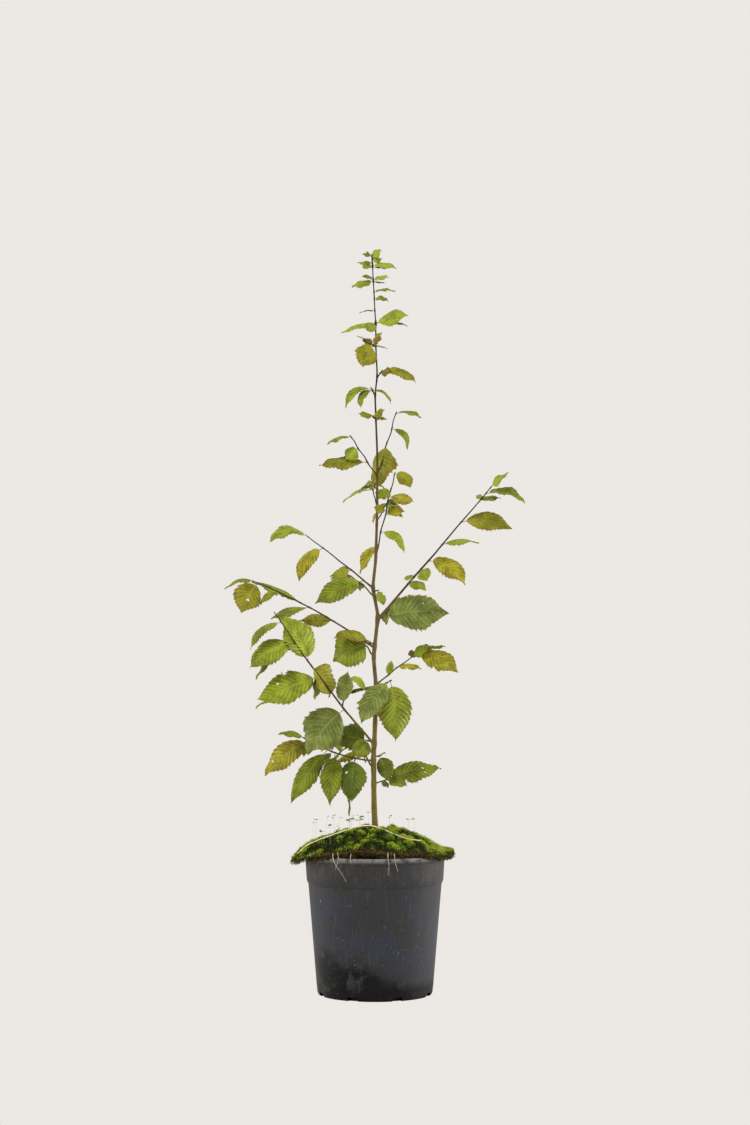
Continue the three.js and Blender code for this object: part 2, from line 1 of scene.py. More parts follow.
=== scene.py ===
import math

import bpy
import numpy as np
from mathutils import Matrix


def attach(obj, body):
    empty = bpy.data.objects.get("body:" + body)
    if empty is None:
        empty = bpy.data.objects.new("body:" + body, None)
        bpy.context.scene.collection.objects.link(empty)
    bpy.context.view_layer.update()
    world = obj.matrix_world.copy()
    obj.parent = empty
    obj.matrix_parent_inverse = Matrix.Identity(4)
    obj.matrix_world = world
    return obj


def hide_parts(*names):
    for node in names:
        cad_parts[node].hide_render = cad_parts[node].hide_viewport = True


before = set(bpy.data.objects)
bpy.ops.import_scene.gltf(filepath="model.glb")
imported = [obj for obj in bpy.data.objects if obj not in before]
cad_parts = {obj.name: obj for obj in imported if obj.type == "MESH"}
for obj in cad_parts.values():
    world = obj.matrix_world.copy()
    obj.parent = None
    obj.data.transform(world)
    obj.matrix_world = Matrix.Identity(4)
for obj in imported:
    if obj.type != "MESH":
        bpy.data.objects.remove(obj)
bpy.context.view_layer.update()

# %% [markdown]
# # A young hornbeam in its nursery pot
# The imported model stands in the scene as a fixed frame, in metres, with its origin under the middle of
# the pot. This notebook dresses it one piece at a time: the room and camera first, then the pot, the
# moss, the wood and last the leaves. Each piece takes its sizes from the same named values as the solids,
# so it falls where they are, and no piece has to be fitted by eye.

MM = 0.001


# %% [markdown]
# ## Camera, floor and light
# The lens was solved from the pot: how round its rim and base look gives the camera's height, its tilt
# and its distance. The photograph has a blank pale ground, so the floor shows one pale colour to the
# camera. To every other ray it is an ordinary pale floor that throws light up under the leaves. A bright
# even sky and two broad lamps give the soft light, and a lamp at each side draws the edges of the pot.

# %% Camera
PAPER = (0.838, 0.807, 0.768)
CAMERA_DISTANCE, CAMERA_HEIGHT, CAMERA_TILT = 2.626, 0.392, 3.64
LENS, SENSOR_WIDTH, NEAREST, FARTHEST = 64.16, 36, 0.05, 50
PICTURE = (750, 1125)

scene = bpy.context.scene
camera = bpy.data.objects.new("camera", bpy.data.cameras.new("camera"))
camera.location = (0, -CAMERA_DISTANCE, CAMERA_HEIGHT)
camera.rotation_euler = (math.radians(90 + CAMERA_TILT), 0, 0)
camera.data.lens = LENS
camera.data.sensor_width = SENSOR_WIDTH
camera.data.clip_start, camera.data.clip_end = NEAREST, FARTHEST
scene.collection.objects.link(camera)
scene.camera = camera
scene.render.resolution_x, scene.render.resolution_y = PICTURE
scene.view_settings.view_transform = "Standard"
scene.view_settings.look = "None"
print("camera", CAMERA_DISTANCE, "m away, lens", LENS, "mm")


# %% [markdown]
# ## A short way to write materials
# A material is a network of nodes, and most of them only add, multiply or compare. The class below wraps
# one socket of a network so that ordinary arithmetic on it places the right node. A recipe then reads
# like a formula, which is easier to follow and to change than a list of links.

# %% Materials written as arithmetic
class Term:
    """One number or colour inside a material. Arithmetic with it adds a math node."""

    def __init__(self, recipe, socket):
        self.recipe, self.socket = recipe, socket

    def math(self, operation, *inputs):
        return self.recipe.node("ShaderNodeMath", {"operation": operation}, list(inputs))

    def __add__(self, other):
        return self.math("ADD", self, other)

    def __radd__(self, other):
        return self.math("ADD", other, self)

    def __sub__(self, other):
        return self.math("SUBTRACT", self, other)

    def __rsub__(self, other):
        return self.math("SUBTRACT", other, self)

    def __mul__(self, other):
        return self.math("MULTIPLY", self, other)

    def __rmul__(self, other):
        return self.math("MULTIPLY", other, self)

    def __abs__(self):
        return self.math("ABSOLUTE", self)

    def fraction(self):
        """What stands behind the decimal point."""
        return self.math("FRACT", self)

    def at_least(self, other):
        """The larger of two."""
        return self.math("MAXIMUM", self, other)

    def part(self, index):
        """One of the three numbers of a vector."""
        return self.recipe.node("ShaderNodeSeparateXYZ", {}, [self], index)

    def rise(self, low, high):
        """0 below low, 1 above high and a smooth step between them."""
        settings = {"interpolation_type": "SMOOTHSTEP"}
        return self.recipe.node("ShaderNodeMapRange", settings, {0: self, 1: low, 2: high, 3: 0.0, 4: 1.0})


class Recipe:
    """A material, or the world's light, being written. node() places each node that isn't arithmetic."""

    def __init__(self, name, world=False):
        self.owner = (bpy.data.worlds if world else bpy.data.materials).new(name)
        self.owner.use_nodes = True
        self.tree = self.owner.node_tree
        self.tree.nodes.clear()

    def node(self, kind, settings, inputs, output=0):
        """Places a node, sets its options, feeds its inputs and gives back one of its outputs."""
        node = self.tree.nodes.new(kind)
        for key, value in settings.items():
            setattr(node, key, value)
        for key, value in inputs.items() if isinstance(inputs, dict) else enumerate(inputs):
            if isinstance(value, Term):
                self.tree.links.new(value.socket, node.inputs[key])
            else:
                node.inputs[key].default_value = value
        return Term(self, node.outputs[output]) if node.outputs else None

    def place(self):
        """Where a point is on the object, in metres."""
        return self.node("ShaderNodeTexCoord", {}, [], "Object")

    def pattern(self):
        """The piece's own pattern map, such as vein number and distance from the midrib."""
        return self.node("ShaderNodeUVMap", {"uv_map": "Pattern"}, [])

    def noise(self, where, scale, detail=3.0, roughness=0.55):
        """Soft cloudy noise around one half; scale is in lumps per metre."""
        inputs = {"Vector": where, "Scale": scale, "Detail": detail, "Roughness": roughness}
        return self.node("ShaderNodeTexNoise", {}, inputs)

    def stretched(self, where, by):
        """The same place with its three directions scaled, for streaks and grain."""
        return self.node("ShaderNodeVectorMath", {"operation": "MULTIPLY"}, [where, by])

    def mix(self, share, low, high):
        """The colour low where share is 0 and high where it is 1."""
        colours = [c if isinstance(c, Term) else (*c, 1.0) for c in (low, high)]
        settings = {"data_type": "RGBA"}
        return self.node("ShaderNodeMix", settings, {0: share, 6: colours[0], 7: colours[1]}, 2)

    def finish(self, colour, roughness, height=None, depth=0.2 * MM, strength=0.6, **fixed):
        """Ends the recipe in one shader, with the height as its bump."""
        inputs = {"Base Color": colour, "Roughness": roughness}
        inputs.update({key.replace("_", " "): value for key, value in fixed.items()})
        if height is not None:
            bump = {"Strength": strength, "Distance": depth, "Height": height}
            inputs["Normal"] = self.node("ShaderNodeBump", {}, bump)
        shader = self.node("ShaderNodeBsdfPrincipled", {}, inputs)
        self.node("ShaderNodeOutputMaterial", {}, {"Surface": shader})
        print("finish", self.owner.name, "of", len(self.tree.nodes), "nodes")
        return self.owner


# %% Floor and sky
FLOOR_HALF, FLOOR_DROP = 6.0, 0.0002
SKY_COLOUR, SKY_STRENGTH = (1.0, 0.985, 0.96), 0.60


def for_camera(recipe, lit, seen, output):
    """Ends a recipe that shows one shader to the camera and another to every other ray."""
    camera_ray = recipe.node("ShaderNodeLightPath", {}, [], "Is Camera Ray")
    surface = recipe.node("ShaderNodeMixShader", {}, [camera_ray, lit, seen])
    recipe.node(output, {}, {"Surface": surface})
    return recipe.owner


recipe = Recipe("pale_floor")
lit = recipe.node("ShaderNodeBsdfDiffuse", {}, {"Color": (*PAPER, 1.0)})
seen = recipe.node("ShaderNodeEmission", {}, {"Color": (*PAPER, 1.0), "Strength": 1.0})
paper_floor = for_camera(recipe, lit, seen, "ShaderNodeOutputMaterial")
floor_mesh = bpy.data.meshes.new("floor")
corners = [(x * FLOOR_HALF, y * FLOOR_HALF, -FLOOR_DROP) for x, y in ((-1, -1), (1, -1), (1, 1), (-1, 1))]
floor_mesh.from_pydata(corners, [], [(0, 1, 2, 3)])
floor_mesh.materials.append(paper_floor)
floor = bpy.data.objects.new("floor", floor_mesh)
scene.collection.objects.link(floor)

recipe = Recipe("studio", world=True)
lit = recipe.node("ShaderNodeBackground", {}, {"Color": (*SKY_COLOUR, 1.0), "Strength": SKY_STRENGTH})
seen = recipe.node("ShaderNodeBackground", {}, {"Color": (*PAPER, 1.0)})
scene.world = for_camera(recipe, lit, seen, "ShaderNodeOutputWorld")
print("floor", 2 * FLOOR_HALF, "m wide, sky of strength", SKY_STRENGTH)


# %% Lamps
def lamp(name, place, size, watts, target=(0, 0, 0.5)):
    """A square lamp at a place, turned to face the target."""
    light = bpy.data.lights.new(name, "AREA")
    light.size, light.energy = size, watts
    holder = bpy.data.objects.new(name, light)
    way = np.array(target) - np.array(place)
    flat = math.hypot(way[0], way[1])
    holder.location = place
    holder.rotation_euler = (math.atan2(flat, -way[2]), 0, math.atan2(way[1], way[0]) - math.pi / 2)
    scene.collection.objects.link(holder)


lamp("key", (-0.9, -1.5, 2.3), 0.7, 46)
lamp("fill", (1.5, -1.4, 1.3), 1.0, 12)
lamp("left_edge", (-1.7, 0.45, 0.5), 0.9, 17, (0, 0, 0.3))
lamp("right_edge", (1.7, 0.35, 0.5), 0.9, 34, (0, 0, 0.3))
print("stage and lamps ready")


# %% [markdown]
# ## Shells, tubes and soft lumps
# Everything on the plant is a closed shell: a leaf, a twig, a grain of moss. Writing the corner points as
# whole arrays is quick and gives the same mesh on every run. Shells are gathered in one heap and become
# one object, which renders far faster than thousands of small ones. Each corner also gets a place on the
# piece's own map.

# %% Heap of shells
class Heap:
    """Closed shells that become one mesh. Points are in millimetres, faces are rows of point numbers."""

    def __init__(self):
        self.points, self.faces, self.slots, self.maps, self.patterns, self.count = [], [], [], [], [], 0

    def add(self, points, parts):
        """Adds one shell. parts is a list of (faces, slot, map places, pattern places)."""
        for faces, slot, places, patterns in parts:
            self.faces.append(faces + self.count)
            self.slots.append(np.broadcast_to(slot, len(faces)))
            self.maps.append(places.reshape(-1, 2))
            self.patterns.append((places if patterns is None else patterns).reshape(-1, 2))
        self.points.append(points)
        self.count += len(points)

    def build(self, name, materials, slot, sharp=55):
        """Makes the object and lets it ride on the plant; slot is not used."""
        mesh = bpy.data.meshes.new(name)
        corners = np.concatenate([faces.ravel() for faces in self.faces]).astype(np.int32)
        sizes = np.concatenate([np.full(len(faces), faces.shape[1]) for faces in self.faces])
        mesh.vertices.add(self.count)
        mesh.vertices.foreach_set("co", (np.concatenate(self.points) * MM).astype(np.float32).ravel())
        mesh.loops.add(len(corners))
        mesh.loops.foreach_set("vertex_index", corners)
        mesh.polygons.add(len(sizes))
        mesh.polygons.foreach_set("loop_start", (np.cumsum(sizes) - sizes).astype(np.int32))
        mesh.polygons.foreach_set("material_index", np.concatenate(self.slots).astype(np.int32))
        mesh.polygons.foreach_set("use_smooth", np.ones(len(sizes), bool))
        for layer, places in (("OFBake", self.maps), ("Pattern", self.patterns)):
            places = np.concatenate(places).astype(np.float32).ravel()
            mesh.uv_layers.new(name=layer).uv.foreach_set("vector", places)
        mesh.update(calc_edges=True)
        mesh.validate()
        mesh.set_sharp_from_angle(angle=math.radians(sharp))
        for material in materials:
            mesh.materials.append(material)
        piece = bpy.data.objects.new(name, mesh)
        scene.collection.objects.link(piece)
        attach(piece, "root")
        print(name, len(mesh.vertices), "points,", int((sizes - 2).sum()), "triangles")
        return piece


def unit(vectors):
    """Vectors of length one, along the last axis."""
    return vectors / np.linalg.norm(vectors, axis=-1, keepdims=True)


CELL_MARGIN = 0.04


def squares(count):
    """Corner and side of one square of the map after another, with room for at least count of them."""
    across = math.ceil(math.sqrt(count))
    side = 1 / across
    for index in range(count):
        corner = np.array([index % across, index // across]) * side + CELL_MARGIN * side / 2
        yield corner, side * (1 - CELL_MARGIN)


def round_about(radius, turn, height):
    """Points round the middle of the pot: [radius cos turn, radius sin turn, height]."""
    return np.stack(np.broadcast_arrays(radius * np.cos(turn), radius * np.sin(turn), height), -1)


END_BEHIND, END_BEYOND, POLE_ROW = 0.5, 0.8, 0.02


def tube(path, radii, sides, corner=(0.0, 0.0), size=1.0, slot=0):
    """A limb round a path, closed by a point at each end.

    Ring i lies square to the path at its point i. A corner stands out from the path by its radius along
    cos(turn) of one side direction and sin(turn) of the other. radii has one value for each ring, or one
    for each corner of each ring."""
    count = len(path)
    ahead = unit(np.gradient(path, axis=0))
    whole = path[-1] - path[0]
    steep = abs(whole[2]) > 0.8 * np.linalg.norm(whole)
    first = unit(np.cross([1.0, 0, 0] if steep else [0, 0, 1.0], ahead))
    second = np.cross(ahead, first)
    turn = np.linspace(0, 2 * np.pi, sides, endpoint=False)
    radii = np.broadcast_to(np.asarray(radii, float).reshape(count, -1), (count, sides))
    out = first[:, None] * np.cos(turn)[:, None] + second[:, None] * np.sin(turn)[:, None]
    rings = path[:, None] + radii[..., None] * out
    behind = path[0] - ahead[0] * radii[0].mean() * END_BEHIND
    beyond = path[-1] + ahead[-1] * radii[-1].mean() * END_BEYOND
    points = np.concatenate([rings.reshape(-1, 3), [behind, beyond]])
    i, k = (a.ravel() for a in np.meshgrid(np.arange(count - 1), np.arange(sides), indexing="ij"))
    after = (k + 1) % sides
    quads = np.stack([i * sides + k, i * sides + after, (i + 1) * sides + after, (i + 1) * sides + k], 1)
    rows = np.stack([i, i, i + 1, i + 1], 1) / count
    columns = np.stack([k, k + 1, k + 1, k], 1) / sides
    k = np.arange(sides)
    after = (k + 1) % sides
    last, pole, last_row = (count - 1) * sides, count * sides, 1 - 1 / count
    caps = np.concatenate([
        np.stack([np.full(sides, pole), after, k], 1),
        np.stack([np.full(sides, pole + 1), last + k, last + after], 1)])
    cap_rows = np.repeat([[-POLE_ROW, 0, 0], [1.0, last_row, last_row]], sides, axis=0)
    cap_columns = np.concatenate([
        np.stack([k + 0.5, k + 1, k], 1), np.stack([k + 0.5, k, k + 1], 1)]) / sides
    parts = []
    for faces, column, row in ((quads, columns, rows), (caps, cap_columns, cap_rows)):
        places = np.stack([column, row * (1 - POLE_ROW) + POLE_ROW], -1)
        parts.append((faces, slot, places * size + corner, places))
    return points, parts


def soft_lumps(points, size, seed, count=7):
    """Smooth rises and dips between about -1 and 1: a sum of sine waves in random directions."""
    chance = np.random.default_rng(seed)
    ways = unit(chance.normal(size=(count, 3)))
    ways = ways * (2 * np.pi / (size * chance.uniform(0.7, 1.5, count)))[:, None]
    return np.sin(points @ ways.T + chance.uniform(0, 2 * np.pi, count)).sum(-1) / math.sqrt(count) / 1.2


print("helpers for shells, tubes and lumps ready")


# %% [markdown]
# ## The pot
# A nursery pot is blown or pressed from thin recycled plastic: a slightly tapering wall, a wider band at
# the top, a rolled lip, and notches in the foot that let water out. Its profile, turned round the middle,
# gives the whole body. The notches are made by lifting the ring of the foot inside each of them, which
# keeps the shell closed without cutting it.

# %% Sizes of the pot
POT_HEIGHT, RIM_RADIUS, BASE_RADIUS, WALL, FLOOR_THICKNESS = 180.0, 91.0, 73.0, 2.4, 7.0
BAND_HEIGHT, BAND_STEP, LIP_HEIGHT, LIP_STEP = 36.0, 2.0, 7.0, 1.0
NOTCHES, NOTCH_WIDTH, NOTCH_HEIGHT, NOTCH_REACH = 8, 13.0, 5.0, 9.0
NOTCH_EDGE, OVALNESS = 0.002, 0.0022
POT_COLUMNS, WALL_RINGS = 208, 24


def pot_profile():
    """[radius, height] from under the foot, up the outside, over the lip and down the inside."""
    base, rim, high, under = BASE_RADIUS, RIM_RADIUS, POT_HEIGHT, RIM_RADIUS - LIP_STEP
    foot, band_foot, lip_foot = base - NOTCH_REACH / 2, high - BAND_HEIGHT, high - LIP_HEIGHT
    below, flat = under - BAND_STEP, base - WALL
    outside = [
        [0.0, 0.0], [30.0, 0.0], [foot - 1, 0.0], [foot, 0.0], [foot + 0.4, 0.0], [base - 0.6, 0.0],
        [base, 0.4], [base + 0.9, 1.6], [base + 1.5, 3.2], [base + 1.75, 5.2], [base + 2.3, 10.6],
        [base + 2.55, 12.0]]
    shares = np.linspace(0.04, 1, WALL_RINGS)
    wall = [[base + 2.55 + (below - 1.6 - base - 2.55) * s, 12 + (band_foot - 14) * s] for s in shares]
    band = [
        [below - 1.1, band_foot - 1.6], [below - 0.2, band_foot + 0.6], [under - 1.45, band_foot + 2.6],
        [under - 0.9, band_foot + 10], [under - 0.35, lip_foot - 8], [under, lip_foot - 1],
        [rim - 0.3, lip_foot - 0.4], [rim, lip_foot + 0.5], [rim, high - 2.4], [rim - 0.3, high - 0.9],
        [rim - 1.1, high - 0.1], [rim - 2.3, high], [rim - 3, high - 0.7], [rim - 3.4, high - 2.4]]
    inside = [[flat + 2.6, FLOOR_THICKNESS + 1], [flat + 1.6, FLOOR_THICKNESS], [0.0, FLOOR_THICKNESS]]
    return np.array(outside + wall + band + inside)


def pot_grid(profile):
    """The turn of every column, and the profile carried round with the foot lifted inside the notches.

    The columns crowd at both sides of each notch, so its walls stand upright. Point p of the profile at a
    turn is (radius cos turn, radius sin turn, height), and the top is a little oval."""
    half = NOTCH_WIDTH / 2 / BASE_RADIUS
    middles = (np.arange(NOTCHES) + 0.5) * 2 * np.pi / NOTCHES
    spread = np.linspace(-0.5, 0.5, POT_COLUMNS // NOTCHES + 1)[:-1] * 2 * np.pi / NOTCHES
    sides = [-half - NOTCH_EDGE, -half + NOTCH_EDGE, half - NOTCH_EDGE, half + NOTCH_EDGE]
    spread = np.sort(np.concatenate([spread, sides]))
    turns = (middles[:, None] + spread).ravel()
    inside = np.tile(np.abs(spread) < half, NOTCHES)
    radius, height = (np.tile(column, (len(turns), 1)) for column in profile.T)
    in_notch = (profile[:, 0] > BASE_RADIUS - NOTCH_REACH / 2) & (profile[:, 1] < NOTCH_HEIGHT)
    lifted = np.where(inside[:, None] & in_notch, NOTCH_HEIGHT + 0.02 * profile[:, 1], height)
    oval = 1 + OVALNESS * np.cos(2 * turns + 0.7)[:, None] * (height / POT_HEIGHT)
    return turns, round_about(radius * oval, turns[:, None], lifted)[:, 1:-1]


def pot_shell():
    """Faces between the columns of the pot's grid, with a flat fan under the foot and one on the floor."""
    profile = pot_profile()
    turns, grid = pot_grid(profile)
    columns, rings = grid.shape[:2]
    points = np.concatenate([grid.reshape(-1, 3), [[0, 0, 0], [0, 0, FLOOR_THICKNESS]]])
    length = np.concatenate([[0], np.cumsum(np.linalg.norm(np.diff(profile, axis=0), axis=1))])
    rows = (length / length[-1])[1:-1]
    c, r = (a.ravel() for a in np.meshgrid(np.arange(columns), np.arange(rings - 1), indexing="ij"))
    after = (c + 1) % columns
    quads = np.stack([c * rings + r, after * rings + r, after * rings + r + 1, c * rings + r + 1], 1)
    u = np.append(turns, turns[0] + 2 * np.pi)
    u = (u - u[0]) / (2 * np.pi)
    across = np.stack([u[c], u[c + 1], u[c + 1], u[c]], 1)
    places = np.stack([across, np.stack([rows[r], rows[r], rows[r + 1], rows[r + 1]], 1)], -1)
    c = np.arange(columns)
    after = (c + 1) % columns
    pole, last = columns * rings, rings - 1
    under = np.stack([np.full(columns, pole), after * rings, c * rings], 1)
    bed = np.stack([np.full(columns, pole + 1), c * rings + last, after * rings + last], 1)
    caps = []
    for faces, own, ring, near, far in ((under, 0.0, rows[0], c + 1, c), (bed, 1.0, rows[-1], c, c + 1)):
        across = np.stack([(u[c] + u[c + 1]) / 2, u[near], u[far]], 1)
        caps.append((faces, 0, np.stack([across, np.tile([own, ring, ring], (columns, 1))], -1), None))
    return points, [(quads, 0, places, None), *caps]


profile = pot_profile()
print("pot profile of", len(profile), "points, widest", profile[:, 0].max(), "mm")

# %% [markdown]
# ### Worn plastic
# The pot has stood outside for a season or two. Recycled plastic starts out dull black, then rubs bluish,
# keeps the marks of splashed soil and stays damp low down on the left. It is paler in patches along the top
# of its lip and darker at its foot. A photo of a used pot could be wrapped round it, but noise that reads
# the place on the pot needs no picture and has no seam. Each mark is one layer, and the round splashes on
# the front have a list of their own.

# %% Worn black plastic
SPLASH_RADIUS, SPLASH_FRINGE = 84.0, (0.0020, 0.0010)
SPLASHES = [
    [17.5, 161, 1.7], [36, 154, 1.0], [41, 149, 1.2], [65, 128, 0.9], [-6, 139.5, 0.8], [-55, 133, 0.9],
    [-14, 43, 1.3], [-69, 124, 0.7], [22, 63, 0.7]]


def worn_plastic():
    """Dark plastic: upright streaks, bluish wear, dried splashes, dust, damp at the lower left, a paler lip,
    a darker foot.
    """
    recipe = Recipe("worn_black_plastic")
    place = recipe.place()
    x, z = place.part(0), place.part(2)
    clouds = recipe.noise(place, 22.0, 5.0, 0.62)
    fine = recipe.noise(place, 420.0, 3.0, 0.6)
    streaks = recipe.noise(recipe.stretched(place, (260.0, 260.0, 16.0)), 1.0, 3.0, 0.6)
    blue = clouds.rise(0.40, 0.58) * z.rise(0.02, 0.06) * z.rise(0.155, 0.115)
    colour = recipe.mix(blue, (0.0255, 0.0255, 0.0262), (0.0265, 0.0290, 0.0390))
    colour = recipe.mix(streaks.rise(0.5, 0.85) * 0.35, colour, (0.075, 0.073, 0.070))
    level = z + 0.07 * clouds + 0.36 * x
    damp = level.rise(0.085, 0.055) * recipe.noise(place, 48.0, 4.0, 0.6).rise(0.34, 0.46)
    # Darker towards the foot.
    foot = z.rise(0.025, 0.012) * clouds.rise(0.30, 0.46)
    colour = recipe.mix((damp * 0.96).at_least(foot * 0.8), colour, (0.0015, 0.0015, 0.0018))
    patches = recipe.noise(place, 60.0, 2.0).rise(0.42, 0.6)
    dust = recipe.noise(place, 560.0, 2.0, 0.5).rise(0.665, 0.73) * patches
    colour = recipe.mix(dust * 0.5, colour, (0.25, 0.235, 0.21))
    pits = recipe.noise(place, 330.0, 2.0, 0.5).rise(0.64, 0.70) * patches
    colour = recipe.mix(pits * 0.7, colour, (0.004, 0.004, 0.004))
    smear = recipe.noise(recipe.stretched(place, (150.0, 150.0, 85.0)), 1.0, 5.0, 0.75)
    splash = smear.rise(0.50, 0.70) * z.rise(0.122, 0.168)
    colour = recipe.mix(splash * 0.6, colour, (0.078, 0.060, 0.045))
    for right, high, size in SPLASHES:
        at = (right * MM, -math.sqrt(SPLASH_RADIUS**2 - right**2) * MM, high * MM)
        gap = recipe.node("ShaderNodeVectorMath", {"operation": "DISTANCE"}, [place, at], "Value")
        spot = (gap + 0.003 * fine).rise(*(size * MM + fringe for fringe in SPLASH_FRINGE))
        colour = recipe.mix(spot, colour, (0.46, 0.43, 0.38))
    # Paler in patches along the top of the lip.
    lip = (z + 0.004 * clouds).rise(0.1745, 0.1805) * recipe.noise(place, 90.0, 4.0, 0.7).rise(0.33, 0.55)
    colour = recipe.mix(lip * 0.85, colour, (0.19, 0.175, 0.17))
    roughness = 0.46 + 0.14 * clouds + 0.08 * fine - 0.10 * damp + 0.2 * dust
    height = 0.7 * streaks + 0.5 * fine + 0.3 * dust
    return recipe.finish(colour, roughness, height, 0.25 * MM, 0.35, Specular_IOR_Level=0.11)


heap = Heap()
heap.add(*pot_shell())
pot = heap.build("nursery_pot", [worn_plastic()], "pot_plastic", 32)
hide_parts("pot")

# %% [markdown]
# ## Soil and moss
# The soil's top is a shallow hill of crumbs, hidden except for a dark strip above the rim. Moss covers
# it as a lumpy blanket and hangs over the rim at both sides, higher and thicker at the left. A blanket
# alone looks like cloth, so round cushions rise from it and thousands of small pointed shoots stand on
# them, closest on the cushions' tops. Sculpting could give one good lump, but a sum of bells and waves gives
# hundreds that all differ and stay the same on every run.

# %% Shapes of soil and moss
CLEARANCE, SOIL_BELOW_RIM, SOIL_TOP, MOSS_TOP, MOSS_EDGE = 0.3, 6.0, 196.0, 217.0, 188.0
MOSS_LUMP, MOSS_WAVES, MOSS_SKIRT, MOSS_INSET, MOSS_EDGE_DEPTH, HANGS_FROM = 2.2, 5, 0.9, 1.0, 4.0, 4.0
LEFT_OVERHANG, RIGHT_OVERHANG, FRONT_INSET, LEFT_DROOP, LEFT_HEAP = 17.0, 11.0, 5.0, 16.0, 6.5
TRUNK_ROOM = 5.2 + 2.2
SOIL_EDGE = POT_HEIGHT - SOIL_BELOW_RIM
SOIL_RADIUS = RIM_RADIUS - WALL - 1 - CLEARANCE
SEAT = POT_HEIGHT + 2 * CLEARANCE


def chances(seed):
    """A repeatable chance between 0 and 1: each state is the last one times 1664525 plus 1013904223."""
    state = seed
    while True:
        state = (state * 1664525 + 1013904223) % 2**32
        yield state / 2**32


def soil_height(radius):
    """The soil falls from the trunk to its edge below the rim, slowly at first."""
    return SOIL_TOP - (SOIL_TOP - SOIL_EDGE) * np.minimum(radius / SOIL_RADIUS, 1.2) ** 1.6


def moss_edge(turn):
    """How far the moss reaches at a turn: over the rim left and right, short of it in front."""
    left, right, front = (np.maximum(0, way) for way in (-np.cos(turn), np.cos(turn), -np.sin(turn)))
    over = left**3 * LEFT_OVERHANG + right**3 * RIGHT_OVERHANG
    return RIM_RADIUS + over - front**2 * FRONT_INSET - MOSS_INSET


moss_chance = chances(7)
moss_waves = [
    [2 + int(5 * next(moss_chance)), 2 * math.pi * next(moss_chance), 0.4 + next(moss_chance)]
    for _ in range(MOSS_WAVES)]


def moss_height(turn, radius):
    """The blanket's top: a dome that falls to the edge and heaves in slow waves. At the left it droops
    over the rim and is heaped up just before it."""
    lump = sum(size * np.sin(count * turn + phase + radius / 14) for count, phase, size in moss_waves) / 3
    fall = (MOSS_TOP - MOSS_EDGE) * np.minimum(radius / RIM_RADIUS, 1) ** 2.2
    left = np.maximum(0, -np.cos(turn)) ** 3
    droop = left * LEFT_DROOP * np.maximum(0, (radius - RIM_RADIUS) / LEFT_OVERHANG)
    top = MOSS_TOP - fall - droop + MOSS_LUMP * lump
    heaped = LEFT_HEAP * left * np.clip((radius - 60) / 30, 0, 1)
    return np.maximum(top, SEAT + 2 - left * LEFT_DROOP) + heaped


def moss_height_at(x, y):
    """The blanket's top above a point of the level plane."""
    return moss_height(np.arctan2(y, x), np.hypot(x, y))


print("moss reaches", [round(float(moss_edge(turn)), 1) for turn in (0, math.pi, -math.pi / 2)], "mm")

# %% Cushions of moss
CUSHIONS, CUSHION_REACH, FLATTER, BLANKET_DROP, SHOOT_DROP = 560, 108, 0.6, 7.0, 7.3
cushion_chance = np.random.default_rng(5)
cushion_turn = cushion_chance.uniform(0, 2 * np.pi, CUSHIONS)
cushion_radius = CUSHION_REACH * np.sqrt(cushion_chance.uniform(0.01, 1, CUSHIONS))
cushions = round_about(cushion_radius, cushion_turn, 0)[:, :2]
cushion_size = cushion_chance.uniform(2.4, 6.4, CUSHIONS)
cushion_rise = cushion_size * cushion_chance.uniform(0.5, 1.05, CUSHIONS)
print(CUSHIONS, "cushions, the tallest", round(cushion_rise.max(), 1), "mm high")


def cushion_height(x, y):
    """Round cushions on the blanket: each a steep bell of its own size, and the tallest one counts."""
    squared = (x[..., None] - cushions[:, 0]) ** 2 + (y[..., None] - cushions[:, 1]) ** 2
    return (cushion_rise * np.exp(-((squared / cushion_size**2) ** 1.4))).max(-1)


def moss_surface(turn, radius, share):
    """Points on the blanket with its cushions, which flatten where share nears 1, at the edge."""
    x, y = radius * np.cos(turn), radius * np.sin(turn)
    return x, y, moss_height(turn, radius) + cushion_height(x, y) * (1 - FLATTER * share**6)


# %% Blanket of moss
MOSS_COLUMNS, MOSS_RINGS, RAGGED, RAGGED_SIZE = 380, 76, 2.0, 8


def moss_blanket():
    """Rings from the trunk out to a ragged edge, down over the rim and back in along the soil."""
    turns, shares = np.linspace(0, 2 * np.pi, MOSS_COLUMNS, endpoint=False), np.linspace(0, 1, MOSS_RINGS)
    turn, share = np.meshgrid(turns, shares, indexing="ij")
    ragged = moss_edge(turn) + RAGGED * soft_lumps(round_about(90, turn, 0), RAGGED_SIZE, 3)
    x, y, z = moss_surface(turn, TRUNK_ROOM + (ragged - TRUNK_ROOM) * share, share)
    top = np.stack([x, y, z - BLANKET_DROP], -1)
    edge, edge_height = ragged[:, -1], top[:, -1, 2]
    skirt = RIM_RADIUS + MOSS_SKIRT
    hangs = np.maximum(0, edge - skirt) > HANGS_FROM
    low = np.where(hangs, np.minimum(SEAT, edge_height - MOSS_EDGE_DEPTH / 2), SEAT)
    low_within = np.where(hangs, np.minimum(SEAT, low + 5), SEAT)
    outside, within = np.minimum(edge - 2, skirt), np.minimum(edge - 4, SOIL_RADIUS - 5)
    under = [
        (edge + 0.2, edge_height - 1.2), (edge - 1, low), (outside, low_within), (outside, SEAT),
        (np.minimum(edge - 3, SOIL_RADIUS - 1), SEAT), (within, soil_height(within) + 0.6),
        (TRUNK_ROOM + 30, soil_height(TRUNK_ROOM + 30) + 0.6), (TRUNK_ROOM, soil_height(TRUNK_ROOM) + 0.6)]
    below = np.stack([round_about(radius, turns, height) for radius, height in under], 1)
    return np.concatenate([top, below], 1)


